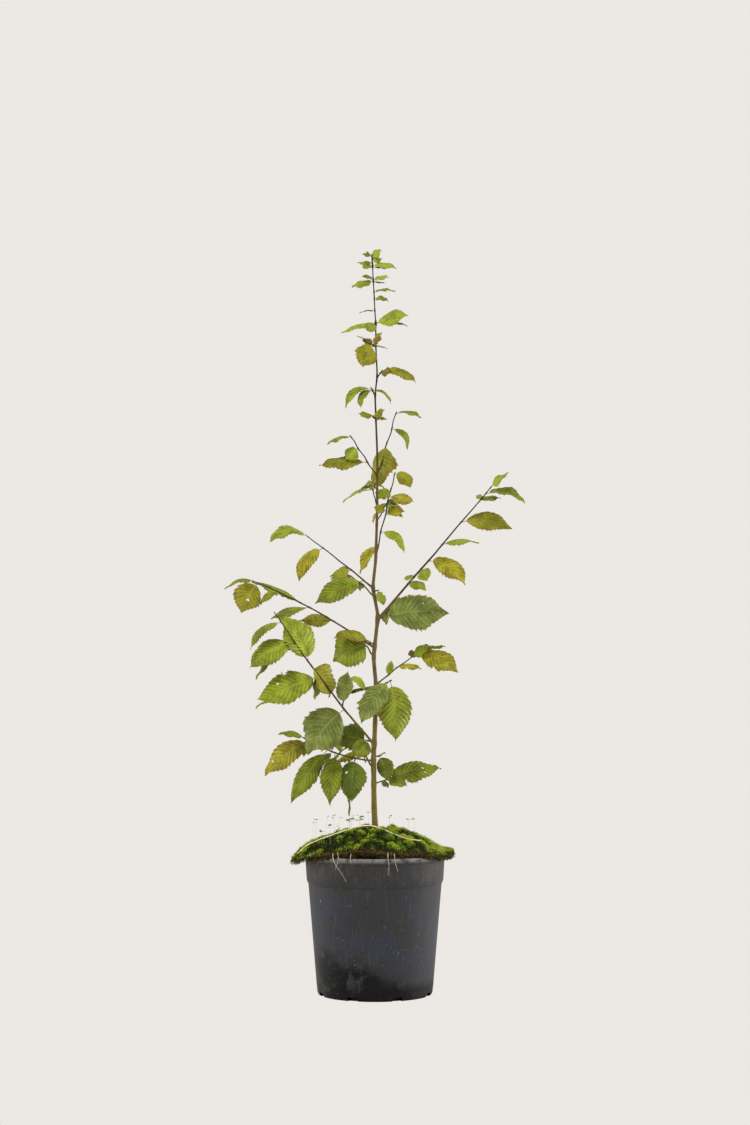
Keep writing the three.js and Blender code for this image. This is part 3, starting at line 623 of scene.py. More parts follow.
def wrapped(grid, slot=0):
    """A closed ring-shaped shell from a grid of points that wraps round both ways."""
    columns, rings = grid.shape[:2]
    c, r = (a.ravel() for a in np.meshgrid(np.arange(columns), np.arange(rings), indexing="ij"))
    c2, r2 = (c + 1) % columns, (r + 1) % rings
    quads = np.stack([c * rings + r, c * rings + r2, c2 * rings + r2, c2 * rings + r], 1)
    across, inwards = np.stack([c, c, c + 1, c + 1], 1) / columns, np.stack([r, r + 1, r + 1, r], 1) / rings
    return grid.reshape(-1, 3), [(quads, slot, np.stack([across, inwards], -1), None)]


# %% Soil
def crumbs():
    """Dark damp compost with paler fibres."""
    recipe = Recipe("damp_compost")
    place = recipe.place()
    grain = recipe.noise(place, 350.0, 6.0, 0.7)
    colour = recipe.mix(grain.rise(0.4, 0.62), (0.006, 0.0035, 0.002), (0.045, 0.026, 0.014))
    return recipe.finish(colour, 0.92, grain, 1.2 * MM, 0.9)


SOIL_COLUMNS, SOIL_RINGS, CRUMB, CRUMB_SIZE = 180, 30, 1.1, 6
soil_turn = np.linspace(0, 2 * np.pi, SOIL_COLUMNS, endpoint=False)[:, None]
slope = (RIM_RADIUS - BASE_RADIUS - 3.6) / (POT_HEIGHT - 2 - FLOOR_THICKNESS)
bottom_radius = BASE_RADIUS - WALL + 2.6 - CLEARANCE
top_radius = bottom_radius + slope * (SOIL_EDGE - FLOOR_THICKNESS) - 0.4
hill = np.linspace(1, 0.02, SOIL_RINGS) * top_radius
soil_radii = np.concatenate([[2.0, bottom_radius - 0.8], [top_radius - 0.3], hill[1:]])
soil_heights = np.concatenate([[FLOOR_THICKNESS + CLEARANCE] * 2, [SOIL_EDGE - 1.2], soil_height(hill[1:])])
soil_grid = round_about(soil_radii, soil_turn, soil_heights)
soil_grid[:, 3:, 2] += CRUMB * soft_lumps(soil_grid[:, 3:], CRUMB_SIZE, 21) - CRUMB
heap = Heap()
heap.add(*wrapped(soil_grid))
soil = heap.build("soil_hill", [crumbs()], "soil")
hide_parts("soil")

# %% [markdown]
# ### Moss colours and shoots
# Live moss is fresh green at the tips of its shoots, and it dies back to brown at the edge, where it dries
# out. The dark between the shoots is painted shade: each shoot darkens to its foot and the blanket under
# them is nearly black. Each shoot is a spike of four faces, as there are tens of thousands, and takes one
# of five plain shades: by patch on the dome and deeper low between the cushions, which is painted shade,
# and brown or peat dark in the fringe over the rim.

# %% Moss colours
def moss_finish(name, shade, deep, by_tip=True):
    """Matt moss, mottled; with by_tip each shoot darkens to deep at its foot: painted shade of the gaps."""
    recipe = Recipe(name)
    place = recipe.place()
    mottle = recipe.noise(place, 240.0, 4.0, 0.65)
    share = mottle.rise(0.36, 0.64)
    if by_tip:
        # Darker towards the foot of each shoot: painted shade of the gaps between shoots.
        share = share * 0.5 + recipe.pattern().part(1) * 0.75
    colour = recipe.mix(share, deep, shade)
    return recipe.finish(colour, 0.85, mottle, 0.8 * MM, 0.7, Specular_IOR_Level=0.08)


FRESH, GREEN, DEEP, DEAD, PEAT = range(5)
moss_finishes = [
    moss_finish("moss_fresh", (0.400, 0.450, 0.030), (0.070, 0.100, 0.008)),
    moss_finish("moss_green", (0.130, 0.230, 0.016), (0.022, 0.036, 0.004)),
    moss_finish("moss_deep", (0.042, 0.058, 0.008), (0.006, 0.008, 0.002)),
    moss_finish("moss_dead", (0.135, 0.070, 0.026), (0.022, 0.012, 0.005)),
    moss_finish("moss_peat", (0.045, 0.024, 0.011), (0.010, 0.006, 0.003)),
]
# The blanket under the shoots is nearly black green: a sheet of painted shade for the gaps between them.
moss_shade_sheet = moss_finish("moss_shade_sheet", (0.020, 0.024, 0.005), (0.006, 0.006, 0.002), False)


# %% Spikes
SPIKE_SIDES = 3


def spikes(base, way, length, radius, slots, chance):
    """Many thin three-sided spikes as one shell set: three corners round each base and one at its tip."""
    side = unit(np.cross(way, chance.normal(size=way.shape)))
    other = np.cross(way, side)
    turns = np.arange(SPIKE_SIDES) * 2 * np.pi / SPIKE_SIDES
    ring = base[:, None] + radius[:, None, None] * (
        side[:, None] * np.cos(turns)[:, None] + other[:, None] * np.sin(turns)[:, None])
    points = np.concatenate([ring, (base + way * length[:, None])[:, None]], 1)
    faces = np.array([[0, 1, 3], [1, 2, 3], [2, 0, 3], [0, 2, 1]])
    faces = (np.arange(len(base))[:, None, None] * 4 + faces).reshape(-1, 3)
    spot = chance.uniform(0.02, 0.95, (len(base), 1, 2))
    places = np.repeat(spot, 4, axis=1)[:, :, None] + np.array([[0, 0], [0.02, 0], [0.01, 0.02]])
    rise = np.zeros((4, 3, 2))
    rise[:3, 2, 1] = 1.0
    patterns = np.tile(rise, (len(base), 1, 1))
    return points.reshape(-1, 3), [(faces, np.repeat(slots, 4), places.reshape(-1, 3, 2), patterns)]


# %% Shoots that stand on the cushions
SHOOTS_OF_MOSS, SPARSEST, FULL_COVER, LEAN = 44000, 0.2, 2.6, 0.6
PATCH_SIZE, FRESH_ABOVE, GREEN_ABOVE, DEAD_BEYOND = 22, 0.5, -0.35, 1.02


def steepness(height, x, y, step=1.5):
    """How steeply a height rises towards +x and towards +y, measured over one small step."""
    here = height(x, y)
    return (height(x + step, y) - here) / step, (height(x, y + step) - here) / step


def standing_shoots(chance):
    """Shoots over the whole dome, fewest between cushions, each leaning off the slope by its own chance."""
    turn = chance.uniform(0, 2 * np.pi, SHOOTS_OF_MOSS)
    share = np.sqrt(chance.uniform(0.004, 1.0, SHOOTS_OF_MOSS))
    radius = TRUNK_ROOM + (moss_edge(turn) + 1.0 - TRUNK_ROOM) * share
    cover = cushion_height(radius * np.cos(turn), radius * np.sin(turn)) / FULL_COVER
    grows = chance.uniform(size=len(turn)) <= SPARSEST + (1 - SPARSEST) * np.clip(cover, 0, 1)
    share = share[grows]
    x, y, z = moss_surface(turn[grows], radius[grows], share)
    slopes = [a + b for a, b in zip(steepness(moss_height_at, x, y), steepness(cushion_height, x, y))]
    out = unit(np.stack([-slopes[0], -slopes[1], np.ones_like(x)], -1))
    way = unit(out + LEAN * chance.normal(size=out.shape))
    way[:, 2] = np.maximum(way[:, 2], -0.2)
    base = np.stack([x, y, z - SHOOT_DROP], -1)
    patch_and_shade = 0.8 * soft_lumps(base * [1, 1, 0.3], PATCH_SIZE, 31) + 0.45 * chance.normal(size=len(x))
    # Shoots low between the cushions get deeper slots: painted shade in the hollows.
    patch_and_shade = patch_and_shade + 0.5 * (cushion_height(x, y) - 3.2)
    slots = np.select([patch_and_shade > FRESH_ABOVE, patch_and_shade > GREEN_ABOVE], [FRESH, GREEN], DEEP)
    drying = share + 0.05 * chance.normal(size=len(x)) + 0.10 * (y < -40) * (np.abs(x) < 80)
    slots = np.where(drying > DEAD_BEYOND, DEAD, slots)
    length = chance.uniform(1.8, 4.6, len(x)) * np.where(slots == DEAD, 0.8, 1.0)
    return base, unit(way), length, chance.uniform(0.35, 0.8, len(x)), slots


# %% Fringe over the rim
FRINGE, FRINGE_REACH, CLUMP_SIZE = 7600, 7.5, 15
CLUMP_SHARES = {DEAD: 0.42, PEAT: 0.28, DEEP: 0.2, GREEN: 0.1}


def fringe_shoots(chance):
    """Longer brown shoots round the edge, which point outwards and down and hang together in clumps."""
    turn = chance.uniform(0, 2 * np.pi, FRINGE)
    radius = moss_edge(turn) + chance.uniform(-8, 1.2, FRINGE)
    clump = soft_lumps(round_about(radius, turn, 0), CLUMP_SIZE, 17)
    beyond = np.maximum(0, radius - RIM_RADIUS)
    sunk = chance.uniform(-4.5, 1.5, FRINGE) * np.minimum(1, beyond / 4 + 0.6)
    base = round_about(radius, turn, moss_height(turn, radius) - SHOOT_DROP + sunk)
    down = chance.uniform(-1.3, 0.3, FRINGE) - 0.5 * np.maximum(0, clump)
    way = unit(round_about(1, turn, down) + 0.45 * chance.normal(size=(FRINGE, 3)))
    length = chance.uniform(0.3, 1.0, FRINGE) * FRINGE_REACH * np.clip(0.5 + 0.55 * clump, 0.2, 1.2)
    browned = chance.choice(list(CLUMP_SHARES), FRINGE, p=list(CLUMP_SHARES.values()))
    slots = np.where(clump > -0.5, browned, chance.choice([GREEN, DEEP], FRINGE))
    return base, way, length, chance.uniform(0.3, 0.9, FRINGE), slots


# %% Moss put together
chance, heap = np.random.default_rng(9), Heap()
for shoots in (standing_shoots, fringe_shoots):
    heap.add(*spikes(*shoots(chance), chance))
moss_shoots = heap.build("moss_shoots", moss_finishes, "moss", 180)
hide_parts("moss")
heap = Heap()
heap.add(*wrapped(moss_blanket()))
moss = heap.build("moss_blanket", [moss_shade_sheet], "moss")
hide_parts("moss")

# %% [markdown]
# ## The wood
# The trunk is a line of bends, one at each bud, with a radius that thins by a power law and flares out
# at the ground. A shoot is a straight reach with a slight arch, and it turns a little at each knot, as
# hornbeam twigs do. Trunk and boughs share one mesh with the bark's relief, and each bough swells into
# a collar where it leaves the trunk, so that it grows out of it and doesn't look stuck on.

# %% Line and radius of trunk and shoots
TRUNK_FOOT, TRUNK_TOP, LEADER_TIP = SOIL_TOP + CLEARANCE, 872.0, 966.0
TIP_RADIUS, TAPER_RADIUS, TAPER_POWER, FLARE_RADIUS, FLARE_HEIGHT = 0.6, 3.1, 1.3, 1.6, 18.0
TRUNK_LINE = np.array([
    [196, 1, 0], [236, -1, 0], [300, -2, 1], [392, 2, 0], [434, -2, -1], [489, 4, 0], [526, -3, 1],
    [562, 1, 0], [635, 3, -1], [701, 3, 1], [781, 0, 0], [806, 3, 0], [847, 1, 1], [894, 1, 0],
    [925, 0, 0], [966, -4, 0]])
TWIG_TIP_RADIUS, TWIG_KNOTS, ZIGZAG = 0.7, 5, 1.1


def trunk_at(height):
    """The middle of the trunk at a height, straight between its bends."""
    height = np.asarray(height, float)
    right, away = (np.interp(height, TRUNK_LINE[:, 0], TRUNK_LINE[:, k]) for k in (1, 2))
    return np.stack([right, away, height], -1)


def trunk_radius(height):
    """A tip radius, a taper that runs out by a power law, and a flare that dies away above the ground."""
    share = np.minimum((height - TRUNK_FOOT) / (LEADER_TIP - TRUNK_FOOT), 1)
    flare = FLARE_RADIUS * np.exp((TRUNK_FOOT - height) / FLARE_HEIGHT)
    return TIP_RADIUS + TAPER_RADIUS * (1 - share) ** TAPER_POWER + flare


def side_to_side(x):
    """A wave of straight strokes between -1 and 1, nothing at 0 and full at one half."""
    return 1 - 4 * np.abs(np.mod(x / 2 + 0.25, 1) - 0.5)


def along(foot, shoot, share):
    """A point of a shoot: foot plus its reach, an arch of four bows share (1 - share), and its zigzag."""
    reach = np.array(shoot["reach"], float)
    swing = unit(np.array([-reach[1], reach[0], 0.0]))
    size = min(ZIGZAG, np.linalg.norm(reach) / 60)
    share = np.asarray(share, float)[..., None]
    arch = np.array([0, 0, 4.0 * shoot["bow"]]) * share * (1 - share)
    return foot + reach * share + arch + swing * size * side_to_side(share * TWIG_KNOTS)


thickness = round(2 * float(trunk_radius(TRUNK_FOOT)), 1)
print("trunk", thickness, "mm thick at its foot, with its tip at", LEADER_TIP, "mm")

# %% [markdown]
# ## The table of shoots
# Each shoot leaves the trunk at the height node and ends at reach, [right, away, up] from there. bow is
# how far its middle stands above the straight line, bare the share of it that is a bare bough, thick its
# diameter at the trunk, and fuller widens its leaves. What a row leaves out is in REST. Each leaf is
# [share of the shoot, right, away, up, sag, face, breadth]: where it sits, its tip from its base in
# millimetres, how many degrees its midrib bends down, how many its upper side turns from the sky to the
# viewer, and its width as a share of its length. tints has a letter for each leaf: f fresh, g green,
# o olive, d deep, b blue-green, y yellow and r russet; d is a darker green for leaves that lie in shade,
# which paints their shade. The shoots behind the trunk don't show in the photograph, so a rule grows their
# leaves.

# %% Table of shoots
REST = dict(bow=0, bare=0, fuller=1.0, sides=[])
SHOOTS = [
    dict(name="right_long", node=485, reach=[146, -56, 168], bow=-1, bare=0.18, thick=3.4,
         tints="ggfyfoggfg", leaves=[[0.27, 24, -16, -9, 35, 42, 0.5], [0.33, -14, 4, -3, 20, 55, 0.6],
         [0.39, 8, -10, -17, 20, 60, 0.8], [0.45, 48, -8, -32, 62, 58, 0.5],
         [0.57, 48, -10, 2, 40, 24, 0.42], [0.74, 66, 0, -9, 46, 55, 0.46], [0.9, 28, 6, 4, 30, 35, 0.46],
         [0.95, 50, -10, -13, 55, 30, 0.44], [1, 22, -10, 17, 25, 48, 0.62],
         [0.92, -8, 4, 3, 10, 50, 0.7]]),
    dict(name="right_broad_leaf", node=486, reach=[7, 7, 1], thick=1.8, tints="b",
         leaves=[[1, 87, 8, 5, 30, 72, 0.62]]),
    dict(name="right_small", node=398, reach=[56, 45, 43], bow=2, bare=0.2, thick=2.2, tints="fyyrfo",
         leaves=[[0.27, 5, 0, 20, 10, 70, 0.5], [0.5, 33, -6, -2, 55, 34, 0.4],
         [0.94, 57, -10, -24, 48, 54, 0.54], [1, -14, -8, -3, 20, 52, 0.6],
         [0.86, 23, -10, 16, 25, 60, 0.6], [1, 37, 8, 9, 25, 22, 0.4]]),
    dict(name="right_low", node=270, reach=[17, 12, 5], thick=1.8, tints="ggd",
         leaves=[[1, 72, 10, 14, 32, 60, 0.46], [1, 27, -14, -8, 15, 50, 0.5], [0.6, 9, -8, -8, 20, 30]]),
    dict(name="right_shaded", node=305, reach=[7, 5, 1], thick=1.6, tints="dg",
         leaves=[[1, 12, -8, -33, 30, 66, 0.7], [0.9, 10, -6, 4, 20, 20]]),
    dict(name="front", node=395, reach=[18, -26, 9], thick=2, tints="gbd",
         leaves=[[1, 6, -8, -78, 30, 30, 0.62], [1, -38, -34, -56, 30, 46, 0.44],
         [0.35, -44, -6, -11, 10, 14, 0.3]]),
    dict(name="left_middle", node=452, reach=[-8, -6, 2], thick=1.8, tints="og",
         leaves=[[1, -46, -16, 5, 80, 42, 0.46], [1, -47, 2, -25, 15, 72, 0.96]]),
    dict(name="left_high", node=526, reach=[-87, 50, 71], bow=1, bare=0.1, thick=2.4, tints="goyf",
         leaves=[[0.13, -64, -14, -32, 25, 58, 0.46], [0.33, -27, 14, -15, 30, 62, 0.66],
         [0.76, -32, -8, -46, 64, 62, 0.36], [1, -51, -8, -8, 84, 32, 0.46]]),
    dict(name="left_long", node=447, reach=[-156, -40, 85], bow=6, bare=0.33, thick=2.6, tints="oggoog",
         leaves=[[0.34, -45, 10, 1, 25, 62, 0.48], [0.54, -50, -14, -16, 35, 28, 0.38],
         [0.62, -64, 14, 28, 30, 14, 0.34], [0.79, -24, -12, -17, 50, 24, 0.4],
         [0.97, -20, -14, -40, 30, 60, 0.84], [1, -38, 8, -10, 60, 24, 0.4]]),
    dict(name="left_low", node=321, reach=[-127, -78, 170], bow=-6, bare=0.26, thick=3.2, tints="bgffoffg",
         leaves=[[0.3, -48, -8, -58, 30, 72, 0.8], [0.58, -2, 10, -34, 20, 66, 0.86],
         [0.55, -84, 14, -40, 20, 12, 0.26], [0.56, -80, -14, -31, 2, 70, 0.5],
         [0.63, 23, 14, -40, 28, 70, 0.96], [0.66, -38, -8, 58, 46, 68, 0.66],
         [0.8, -57, -12, -34, 45, 62, 0.54], [0.93, -39, -6, -35, 85, 32, 0.32]], sides=[dict(at=0.32,
         reach=[7, 8, 36], bow=0, tints="bf", leaves=[[0.1, 7, 0, 43, 10, 74, 0.56],
         [1, 21, -6, -15, 100, 38, 0.42]]), dict(at=0.72, reach=[-17, -4, 5], bow=2, tints="g",
         leaves=[[1, -43, 6, -38, 30, 24, 0.34]])]),
    dict(name="left_shaded", node=324, reach=[-9, 7, 2], thick=1.8, tints="dg", fuller=1.4,
         leaves=[[1, -44, 12, 2, 30, 62, 0.66], [0.8, -14, -8, -24, 50, 56, 0.6]]),
    dict(name="left_lowest", node=300, reach=[-91, 22, 29], bow=-6, bare=0.2, thick=2.2, tints="ddgggyof",
         leaves=[[0.27, -4, -16, -57, 40, 8, 0.64], [0.26, -8, 14, -76, 20, 50, 0.26],
         [0.55, -6, -24, -68, 30, 10, 0.42], [0.6, -8, 6, -34, 30, 62, 0.76],
         [0.66, -48, -18, -70, 24, 58, 0.36], [0.93, -59, 8, -46, 28, 64, 0.5],
         [0.96, -4, -14, -22, 12, 10, 0.6], [1, -35, -6, 5, 50, 40, 0.38]]),
    dict(name="upper_left", node=672, reach=[-34, -28, 49], thick=1.8, tints="ofg",
         leaves=[[0.36, -64, -8, -5, 25, 42, 0.44], [0.7, -18, 4, -13, 20, 70, 0.92],
         [1, -32, 6, -9, 60, 24, 0.42]]),
    dict(name="upper_right", node=671, reach=[25, 38, 90], thick=1.8, tints="ogf",
         leaves=[[0.52, -12, -9, -60, 30, 6, 0.78], [0.76, 20, -6, -29, 90, 28, 0.38],
         [1, 34, -8, -7, 50, 22, 0.4]]),
    dict(name="upright", node=569, reach=[24, -34, 103], bare=0.18, thick=1.9, tints="fyooygo",
         leaves=[[0.28, 30, -6, -27, 100, 36, 0.42], [0.72, 33, -12, -8, 25, 54, 0.56],
         [0.55, -17, -8, 3, 20, 60, 0.66], [0.66, 30, 8, -1, 20, 38, 0.42], [0.5, 25, -6, 4, 20, 60, 0.62],
         [0.8, -16, -8, -12, 20, 56, 0.7], [1, 21, -8, -19, 66, 52, 0.62]]),
    dict(name="left_tiny", node=632, reach=[-6, -9, 22], thick=1.5, tints="f",
         leaves=[[1, -39, 8, -16, 45, 18, 0.34]]),
    dict(name="back_middle", node=580, reach=[2, 11, 3], thick=1.6, tints="y",
         leaves=[[1, -23, 8, -38, 25, 62, 0.46]]),
    dict(name="right_tiny", node=521, reach=[5, -6, 1], thick=1.5, tints="g",
         leaves=[[1, 9, -4, -20, 15, 56, 0.5]]),
    dict(name="high_first", node=748, reach=[-4, -6, 3], thick=1.4, tints="ooy",
         leaves=[[1, -19, -6, 3, 15, 52, 0.5], [0.9, 15, -6, 9, 15, 60, 0.66],
         [0.6, 17, -2, -2, 10, 42, 0.46]]),
    dict(name="high_second", node=779, reach=[-4, -6, 8], thick=1.4, tints="fgo",
         leaves=[[1, -34, -4, -26, 95, 36, 0.36], [0.8, -15, -10, -25, 115, 26, 0.36],
         [0.8, 24, -3, -18, 80, 22, 0.3]]),
    dict(name="high_right", node=803, reach=[5, -4, 7], thick=1.5, tints="or",
         leaves=[[1, 46, -8, -15, 62, 42, 0.4], [0.9, 14, -8, 2, 12, 54, 0.78]]),
    dict(name="high_third", node=845, reach=[-4, -6, 1], thick=1.4, tints="orrorg",
         leaves=[[1, -13, -12, -32, 30, 62, 0.86], [0.8, -15, -4, 7, 20, 60, 0.72],
         [0.8, 8, -8, 8, 20, 62, 0.9], [0.6, 10, -5, 17, 20, 60, 0.7], [1, -21, -2, 12, 20, 14, 0.3],
         [0.6, 18, -4, -5, 30, 18, 0.3]]),
    dict(name="back_lowest", node=290, reach=[-38, 92, 34], bow=6, bare=0.22, thick=2.4, grown=6,
         longest=54),
    dict(name="back_low", node=350, reach=[4, 96, 30], bow=8, bare=0.22, thick=2.4, grown=6, longest=46),
    dict(name="back_left", node=436, reach=[-30, 88, 26], bow=6, bare=0.22, thick=2.2, grown=5, longest=44),
    dict(name="back_right", node=480, reach=[44, 88, 38], bow=6, bare=0.22, thick=2.2, grown=5, longest=44),
    dict(name="back_upper", node=514, reach=[-46, 76, 38], bow=4, bare=0.2, thick=2, grown=5, longest=34),
    dict(name="back_high", node=610, reach=[18, 66, 38], bow=4, bare=0.2, thick=1.8, grown=5, longest=34),
    dict(name="back_highest", node=648, reach=[-6, 54, 24], bow=2, bare=0.2, thick=1.6, grown=4,
         longest=30),
]
LEADER_LEAVES = [
    [0.03, 43, -12, 10, 35, 62, 0.56], [0.05, 43, 8, -3, 30, 14, 0.34], [0.03, -45, -5, -13, 45, 25, 0.38],
    [0.04, -12, -10, -12, 20, 55, 0.7], [0.22, -21, 5, -2, 30, 18, 0.34], [0.39, 19, -5, -4, 20, 40, 0.5],
    [0.48, 29, 5, 2, 40, 25, 0.4], [0.64, -29, -6, -9, 25, 45, 0.48], [0.68, -15, -8, 1, 20, 50, 0.5],
    [0.66, 21, -8, 2, 20, 45, 0.46], [0.63, 16, 7, 0, 10, 25, 0.4], [0.86, 32, -6, -5, 35, 42, 0.4],
    [0.84, 18, 8, -1, 15, 22, 0.36], [0.9, -20, 5, 1, 15, 36, 0.46], [0.86, -14, -7, -4, 10, 48, 0.6],
    [1, 13, -7, 6, 10, 62, 0.9], [0.95, 13, 4, 2, 10, 58, 0.8], [1, -13, -5, 1, 15, 50, 0.6]]
LEADER_TINTS = "fgfgdggfgfdfdgfffg"


def grown_leaves(shoot):
    """Leaves of a hidden shoot by rule: from side to side, shorter to the tip, each by its own chance."""
    chance = chances(shoot["node"])
    heading = math.atan2(shoot["reach"][1], shoot["reach"][0])
    rows = []
    for i in range(shoot["grown"]):
        share = shoot["bare"] + 0.08 + (0.92 - shoot["bare"]) * (i + 1) / shoot["grown"]
        last = i + 1 == shoot["grown"]
        turn = heading + (-1 if i % 2 else 1) * (0.1 if last else math.radians(32 + 14 * next(chance)))
        pitch = math.radians(-4 - 34 * next(chance))
        length = shoot["longest"] * (1 - 0.3 * i / shoot["grown"]) * (0.85 + 0.3 * next(chance))
        level = length * math.cos(pitch)
        row = [min(share, 1), level * math.cos(turn), level * math.sin(turn), length * math.sin(pitch)]
        rows.append([*row, 30 + 40 * next(chance), 10 + 30 * next(chance), 0.46 + 0.1 * next(chance)])
    return rows


leader_reach = (trunk_at(LEADER_TIP) - trunk_at(TRUNK_TOP)).tolist()
SHOOTS.append(dict(name="leader", node=TRUNK_TOP, reach=leader_reach, thick=2 * trunk_radius(TRUNK_TOP),
                   tints=LEADER_TINTS, leaves=LEADER_LEAVES))
SHOOTS = [{**REST, **shoot} for shoot in SHOOTS]
HIDDEN_TINTS = "gofydgogfy"
for shoot in SHOOTS:
    if "grown" in shoot:
        shoot["leaves"] = grown_leaves(shoot)
        shoot["tints"] = (HIDDEN_TINTS[shoot["node"] % 7:] + HIDDEN_TINTS)[:shoot["grown"]]
print(len(SHOOTS), "shoots,", sum(len(s["leaves"]) for s in SHOOTS), "leaves on them")


# %% [markdown]
# ### Bark
# Young hornbeam bark is thin and smooth, with fine grain along the stem and pale pores across it. The
# photograph shows it olive low down, reddish halfway and grey brown at the top. Noise stretched along the
# stem gives the grain, the height on the plant picks the shade, and the ridges are real relief in the mesh.

# %% Bark finish
GRAIN_SHADE, MOTTLE_SHADE, PORE_SHADE = (0.26, 0.20, 0.08), (0.030, 0.024, 0.014), (0.34, 0.29, 0.20)


def bark_finish(name, low, middle, high, scale=1.0):
    """Thin smooth bark in three shades from the foot up, with fine grain, mottling and pale pores."""
    recipe = Recipe(name)
    place = recipe.place()
    z = place.part(2)
    grain = recipe.noise(recipe.stretched(place, (700.0, 700.0, 90.0)), scale, 4.0, 0.6)
    mottle = recipe.noise(place, 75.0, 3.0, 0.6)
    colour = recipe.mix((z + 0.05 * mottle).rise(0.26, 0.48), low, middle)
    colour = recipe.mix((z + 0.08 * mottle).rise(0.62, 0.86), colour, high)
    grained = grain.rise(0.5, 0.72) * 0.42 * (1 - 0.8 * z.rise(0.42, 0.72))
    colour = recipe.mix(grained, colour, GRAIN_SHADE)
    colour = recipe.mix(mottle.rise(0.52, 0.72) * 0.55, colour, MOTTLE_SHADE)
    pores = recipe.noise(recipe.stretched(place, (420.0, 420.0, 1100.0)), 1.0, 1.0).rise(0.68, 0.76)
    colour = recipe.mix(pores * 0.4, colour, PORE_SHADE)
    height = grain + 0.6 * pores
    return recipe.finish(colour, 0.66 + 0.2 * grain, height, 0.4 * MM, 0.8, Specular_IOR_Level=0.08)


bark = bark_finish("young_bark", (0.125, 0.098, 0.016), (0.098, 0.062, 0.026), (0.018, 0.015, 0.006))
twig_bark = bark_finish("twig_bark", (0.060, 0.046, 0.020), (0.040, 0.030, 0.016), (0.022, 0.018, 0.010))

# %% Trunk and boughs
TRUNK_SIDES, BOUGH_SIDES, RINGS_BELOW, RINGS_ABOVE = 20, 12, 60, 520
NODE_SWELLING, KNOT_SWELLING, COLLAR = 0.16, 0.22, 0.8


def rough_radii(path, radii, sides, seed, depth=0.05):
    """Bark relief: lengthwise ridges and soft bumps, each a few hundredths of the radius."""
    turn = np.linspace(0, 2 * np.pi, sides, endpoint=False)
    at = round_about(6, turn, path[:, 2:] * 0.22)
    relief = soft_lumps(at, 5, seed) * 0.6 + soft_lumps(at * [1, 1, 3], 2.6, seed + 1) * 0.4
    return radii[:, None] * (1 + depth * relief)


def trunk_shell():
    """The trunk with rounded bends and a small swelling at every node, from under the moss to the leader."""
    heights = np.concatenate([
        np.linspace(TRUNK_FOOT - 4, 236, RINGS_BELOW), np.linspace(237.5, TRUNK_TOP + 1.5, RINGS_ABOVE)])
    path = sum(trunk_at(heights + shift) for shift in (-6, -3, 0, 3, 6)) / 5
    path[:, 2] = heights
    radii = trunk_radius(heights)
    for shoot in SHOOTS:
        radii = radii + NODE_SWELLING * shoot["thick"] * np.exp(-(((heights - shoot["node"]) / 4.5) ** 2))
    for knot in TRUNK_LINE[1:-2, 0]:
        radii = radii + KNOT_SWELLING * np.exp(-(((heights - knot) / 2.6) ** 2))
    return path, rough_radii(path, radii, TRUNK_SIDES, 41, 0.045)


heap = Heap()
path, radii = trunk_shell()
heap.add(*tube(path, radii, TRUNK_SIDES, (0.0, 0.0), (0.14, 1.0)))
boughs = [shoot for shoot in SHOOTS if shoot["bare"]]
for index, shoot in enumerate(boughs):
    foot = trunk_at(shoot["node"])
    length = np.linalg.norm(shoot["reach"])
    share = np.linspace(0, shoot["bare"] + 0.5 / length, max(12, int(shoot["bare"] * length / 1.6)))
    radii = shoot["thick"] / 2 + (TWIG_TIP_RADIUS - shoot["thick"] / 2) * share
    radii = radii + COLLAR * np.exp(-share * length / 5)
    path = along(foot, shoot, share)
    corner, size = (0.16 + 0.84 * index / len(boughs), 0.0), (0.78 / len(boughs), 1.0)
    heap.add(*tube(path, rough_radii(path, radii, BOUGH_SIDES, 60 + index), BOUGH_SIDES, corner, size))
wood = heap.build("trunk_and_boughs", [bark], "bark")
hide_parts("trunk", *["bough_" + shoot["name"] for shoot in boughs])


# %% [markdown]
# ## Leaves
# A hornbeam leaf is pleated: up to thirteen straight veins leave the midrib on each side, and the blade
# bulges between them. The grid of a leaf therefore follows the veins. One coordinate counts veins and the
# other runs from the midrib to the edge, so a single sine wave makes the pleats and a saw-tooth of the
# same coordinate makes the double row of teeth. Each blade gets a second layer underneath and a rim, so
# that it is a thin closed body with an upper side and a paler underside.

# %% Leaf shape
LEAF_BREADTH, LEAF_FOLD, PETIOLE_SHARE = 0.52, 14.0, 0.1
BLADE_THICKNESS, KEEL, PLEAT_DEPTH, WAVE_DEPTH, TWIST = 0.34, 0.5, 0.22, 0.06, 20
FINE_HALF = np.array([0.06, 0.14, 0.25, 0.37, 0.5, 0.62, 0.74, 0.86, 0.95, 1])
COARSE_HALF, FINE_BLADE = np.array([0.09, 0.3, 0.6, 0.88, 1]), 50.0
FULLER, SMALL_FULLER, SMALL_LEAF = 1.12, 0.55, 36.0
FEWEST_VEINS, MOST_VEINS, VEIN_BACK, VEIN_AHEAD = 7, 13, 0.10, 0.16
BIG_TOOTH, SMALL_TOOTH, RAGGED_EDGE = 0.13, 0.06, 0.05
TOOTH_STEPS = np.array([0.10, 0.55, 1.0])


